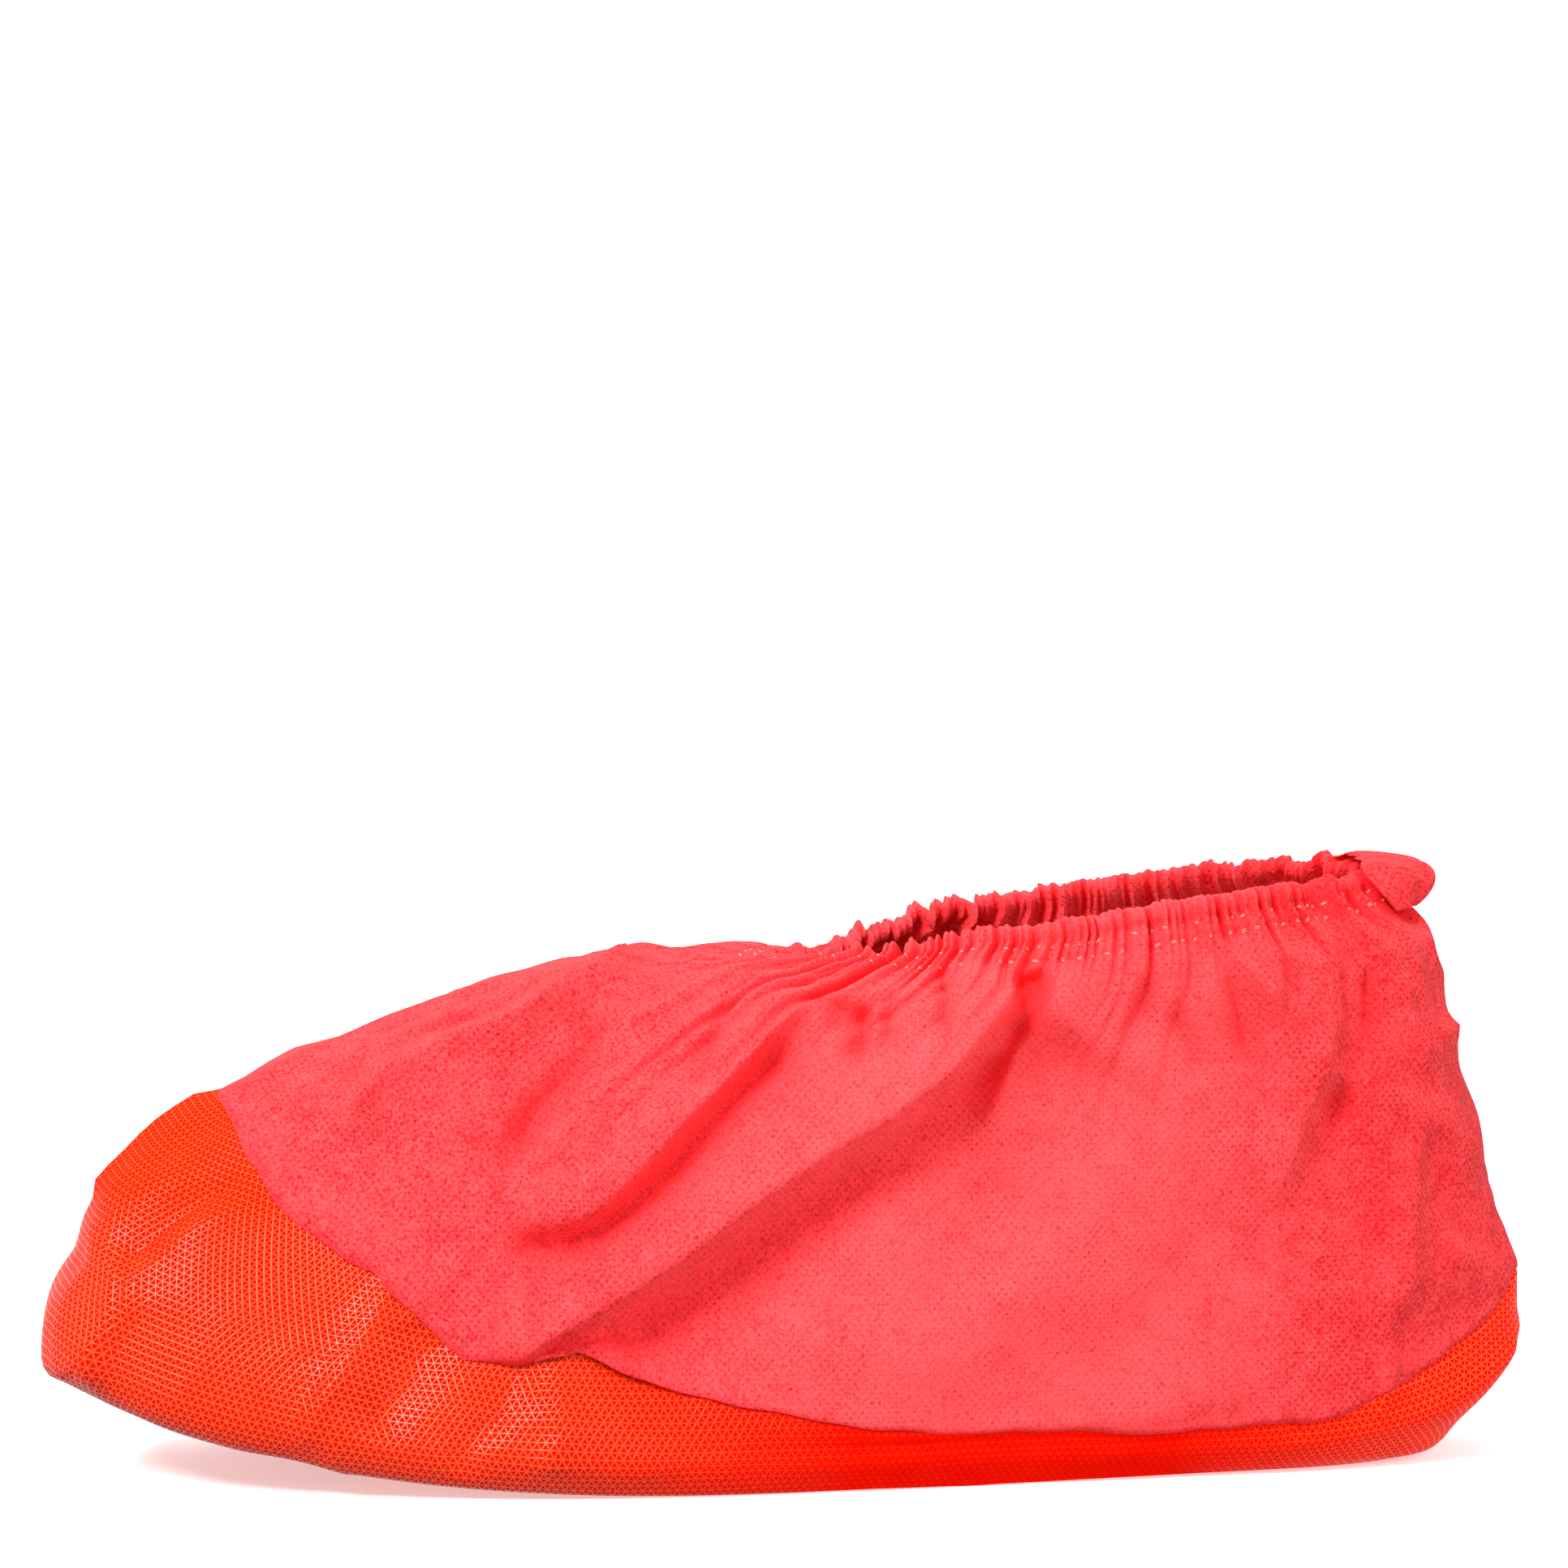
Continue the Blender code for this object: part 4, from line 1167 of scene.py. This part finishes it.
class BootCoverSizes(bpy.types.PropertyGroup):
    """Sizes of the cover's cloth, hem and stitching"""

    upper_wall: length_property("Upper thickness", "Thickness of the nonwoven cloth", 0.00030)
    sole_wall: length_property("Sole thickness", "Thickness of the coated cloth", 0.00060)
    stitch_pitch: length_property("Stitch pitch", "Distance from one stitch to the next", 0.0038)
    stitch_length: length_property("Stitch length", "Length of one stitch that shows", 0.0017)
    stitch_thread: length_property("Thread", "Diameter of the sewing thread", 0.00026)


class BootCoverFinish(bpy.types.PropertyGroup):
    """Colours of the cover, and the sizes of its bond points and emboss"""

    coral: colour_property("Coral", "Nonwoven cloth where its fibres lie thick", (0.96, 0.066, 0.076))
    # Deep coral also carries the painted shade of the heel's deeper tone
    coral_deep: colour_property(
        "Deep coral", "Nonwoven cloth in its bond points and thin places", (0.54, 0.003, 0.006)
    )
    # Painted shade of the cloth deep in its folds
    coral_painted_fold_shade: colour_property("Hollow coral", "Nonwoven cloth deep in its folds", (0.95, 0.010, 0.016))
    # Coating on its ridges: a painted highlight, and the paler side of the film's mottle
    coating_pale_film_and_highlight: colour_property("Coating", "Coated sole on its ridges", (0.90, 0.125, 0.014))
    coating_deep: colour_property("Deep coating", "Coated toe between its ridges", (0.52, 0.0034, 0.0003))
    coating_waist: colour_property(
        "Waist coating", "Coated waist and heel between their ridges", (0.88, 0.0018, 0.0005)
    )
    thread: colour_property("Thread", "Sewing thread in the light", (0.95, 0.40, 0.34))
    # Painted shade in the grooves of the thread's twist, and the dark side of its fuzz
    thread_painted_shade_and_fuzz: colour_property("Thread shade", "Sewing thread in its twist", (0.55, 0.08, 0.06))
    bond_pitch: length_property("Bond pitch", "Distance between bond points in a row", 0.00185)
    emboss_side: length_property("Emboss side", "Side of one embossed triangle", 0.00188)
    emboss_width: length_property("Emboss width", "Half width of an embossed ridge", 0.00032)
    emboss_depth: length_property("Emboss depth", "Height of an embossed ridge", 0.00013)


class BootCoverStudio(bpy.types.PropertyGroup):
    """Floor and light of the studio"""

    floor: colour_property("Floor", "Colour of the floor", (0.94, 0.94, 0.94))
    sky: colour_property("Sky", "Light from the white surround above", (0.92, 0.92, 0.92))
    ground: colour_property("Ground", "Light from the surround below", (1.00, 1.00, 1.00))
    key: strength_property("Key light", "Strength of the soft light from above the near side of the toe", 5.0)
    fill: strength_property("Fill light", "Strength of the wide light from behind the heel", 1.1)
    key_spread: angle_property("Key spread", "Width of the soft light", math.radians(22))
    fill_spread: angle_property("Fill spread", "Width of the wide light", math.radians(50))


class BOOTCOVER_OT_sole(bpy.types.Operator):
    """Make the coated sole with its embossed finish, and its nonwoven inner side"""

    bl_idname = "boot_cover.make_sole"
    bl_label = "Make the sole"

    def execute(self, context):
        place, corner_uv = sole_points()
        mesh = sheet_mesh("coated_sole", place, corner_uv)
        weld(mesh)
        materials = [coating_material(), nonwoven_material()]
        piece = add_piece("coated_sole", mesh, materials, ["sole"])
        add_wall(piece, context.scene.boot_cover_sizes.sole_wall, inner_material=1)
        return {"FINISHED"}


class BOOTCOVER_OT_hem(bpy.types.Operator):
    """Make the gathered hem that is turned over the elastic"""

    bl_idname = "boot_cover.make_hem"
    bl_label = "Make the hem"

    def execute(self, context):
        place, corner_uv = hem_points()
        mesh = sheet_mesh("gathered_hem", place, corner_uv)
        add_piece("gathered_hem", mesh, [nonwoven_material()], ["collar_hem"])
        return {"FINISHED"}


class BOOTCOVER_OT_tuck(bpy.types.Operator):
    """Make the pouch of slack cloth at the back seam"""

    bl_idname = "boot_cover.make_tuck"
    bl_label = "Make the back tuck"

    def execute(self, context):
        place, corner_uv = tuck_points()
        mesh = sheet_mesh("seam_tuck", place, corner_uv, closed=False)
        piece = add_piece("seam_tuck", mesh, [nonwoven_material()], ["back_tuck"])
        add_wall(piece, context.scene.boot_cover_sizes.upper_wall, offset=1)
        return {"FINISHED"}


class BOOTCOVER_OT_stitches(bpy.types.Operator):
    """Make the two rows of stitches below the hem"""

    bl_idname = "boot_cover.make_stitches"
    bl_label = "Make the stitches"

    def execute(self, context):
        sizes = context.scene.boot_cover_sizes
        stitches = stitch_points()
        count, rings, sides = stitches.shape[:3]
        one = corners(ring(np.arange(rings * sides).reshape(rings, sides)))[..., FLIPPED]
        faces = one + rings * sides * np.arange(count)[:, None, None, None]
        along = np.linspace(0, sizes.stitch_length, rings)
        around = np.linspace(0, sizes.stitch_thread * math.pi, sides + 1)
        corner_uv = corners(np.stack(np.meshgrid(along, around, indexing="ij"), axis=-1))[..., FLIPPED, :]
        mesh = cloth_mesh("hem_stitches", stitches, faces, np.tile(corner_uv.ravel(), count))
        add_piece("hem_stitches", mesh, [thread_material()])
        return {"FINISHED"}


class BOOTCOVER_OT_upper(bpy.types.Operator):
    """Make the nonwoven upper with its folds and gathers"""

    bl_idname = "boot_cover.make_upper"
    bl_label = "Make the upper"

    def execute(self, context):
        cloth, places = upper_cloth()
        mesh = sheet_mesh("nonwoven_upper", places, patch_uv(ring(places), ring(cloth.normal)))
        piece = add_piece("nonwoven_upper", mesh, [nonwoven_material()], ["upper"])
        add_wall(piece, context.scene.boot_cover_sizes.upper_wall)
        return {"FINISHED"}


class BOOTCOVER_OT_stage(bpy.types.Operator):
    """Make the floor, the lights and the camera"""

    bl_idname = "boot_cover.make_stage"
    bl_label = "Make the stage"

    def execute(self, context):
        studio = context.scene.boot_cover_studio
        self.add_floor(context)
        self.add_camera(context)
        self.add_light(context, "key", KEY_FROM, studio.key, studio.key_spread)
        self.add_light(context, "fill", FILL_FROM, studio.fill, studio.fill_spread)
        world = bpy.data.worlds.new("white_surround")
        world.use_nodes = True
        background = world.node_tree.nodes["Background"]
        sky = Shade(world.node_tree)
        height = sky.axis(sky.node("ShaderNodeTexCoord"), 2)
        bright = (height * HORIZON_SLOPE + 0.5).within()
        sky.feed(background.inputs["Color"], sky.blend(bright, opaque(studio.ground), opaque(studio.sky)))
        context.scene.world = world
        context.scene.view_settings.view_transform = "Standard"
        return {"FINISHED"}

    def add_floor(self, context):
        """A paper sweep: the floor, and the backdrop that it curves up into behind the cover."""
        turns = np.linspace(0, math.pi / 2, SWEEP_TURNS)
        curve = [(SWEEP_BACK + SWEEP_RADIUS * math.sin(t), SWEEP_RADIUS * (1 - math.cos(t))) for t in turns]
        profile = [(-SWEEP_FRONT, 0.0), *curve, (SWEEP_BACK + SWEEP_RADIUS, SWEEP_HEIGHT)]
        points = [(x, y, z) for y, z in profile for x in (-SWEEP_WIDTH, SWEEP_WIDTH)]
        faces = [(2 * i, 2 * i + 1, 2 * i + 3, 2 * i + 2) for i in range(len(profile) - 1)]
        mesh = bpy.data.meshes.new("paper_sweep")
        mesh.from_pydata(points, [], faces)
        mesh.shade_smooth()
        mesh.materials.append(floor_material())
        floor = bpy.data.objects.new("paper_sweep", mesh)
        floor.location.z = CAD_BOX[0].z - FLOOR_DROP
        # The floor shows and takes shadows, but throws no white light up into the folds
        floor.visible_diffuse = False
        floor.visible_glossy = False
        context.scene.collection.objects.link(floor)

    def add_camera(self, context):
        """The photograph's camera, aimed above the cover so that it stands low in the frame."""
        azimuth, elevation = CAMERA_AZIMUTH, CAMERA_ELEVATION
        back = Vector((
            math.sin(azimuth) * math.cos(elevation),
            -math.cos(azimuth) * math.cos(elevation),
            math.sin(elevation),
        ))
        right = Vector((math.cos(azimuth), math.sin(azimuth), 0.0))
        up = back.cross(right)
        aside = (TARGET_PIXEL[0] - FRAME_PIXELS / 2) / FOCAL_PIXELS
        under = (TARGET_PIXEL[1] - FRAME_PIXELS / 2) / FOCAL_PIXELS
        data = bpy.data.cameras.new("photo_camera")
        data.sensor_width = SENSOR_WIDTH
        data.lens = SENSOR_WIDTH * FOCAL_PIXELS / FRAME_PIXELS
        camera = bpy.data.objects.new("photo_camera", data)
        camera.location = TARGET + back * CAMERA_DISTANCE
        aim = -back - right * aside + up * under
        camera.rotation_euler = aim.to_track_quat("-Z", "Y").to_euler()
        context.scene.collection.objects.link(camera)
        context.scene.camera = camera

    def add_light(self, context, name, source, strength, spread):
        data = bpy.data.lights.new(name, "SUN")
        data.energy = strength
        data.angle = spread
        light = bpy.data.objects.new(name, data)
        light.rotation_euler = (-source).to_track_quat("-Z", "Y").to_euler()
        context.scene.collection.objects.link(light)


class BOOTCOVER_PT_panel(bpy.types.Panel):
    """Pieces, sizes and finish of the boot cover"""

    bl_idname = "BOOTCOVER_PT_panel"
    bl_label = "Boot Cover"
    bl_space_type = "VIEW_3D"
    bl_region_type = "UI"
    bl_category = "Boot Cover"

    def draw(self, context):
        for operator in OPERATORS:
            self.layout.operator(operator.bl_idname)
        scene = context.scene
        for group in (scene.boot_cover_sizes, scene.boot_cover_finish, scene.boot_cover_studio):
            box = self.layout.box()
            for name in group.__annotations__:
                box.prop(group, name)


GROUPS = {
    "boot_cover_sizes": BootCoverSizes,
    "boot_cover_finish": BootCoverFinish,
    "boot_cover_studio": BootCoverStudio,
}
OPERATORS = (
    BOOTCOVER_OT_stage,
    BOOTCOVER_OT_sole,
    BOOTCOVER_OT_hem,
    BOOTCOVER_OT_tuck,
    BOOTCOVER_OT_stitches,
    BOOTCOVER_OT_upper,
)


def register():
    for made in (*GROUPS.values(), *OPERATORS, BOOTCOVER_PT_panel):
        bpy.utils.register_class(made)
    for name, group in GROUPS.items():
        setattr(bpy.types.Scene, name, bpy.props.PointerProperty(type=group))


def unregister():
    for name in GROUPS:
        delattr(bpy.types.Scene, name)
    for made in reversed((*GROUPS.values(), *OPERATORS, BOOTCOVER_PT_panel)):
        bpy.utils.unregister_class(made)


def main():
    register()
    bpy.ops.boot_cover.make_stage()
    bpy.ops.boot_cover.make_sole()
    bpy.ops.boot_cover.make_hem()
    bpy.ops.boot_cover.make_tuck()
    bpy.ops.boot_cover.make_stitches()
    bpy.ops.boot_cover.make_upper()


if __name__ == "__main__":
    main()
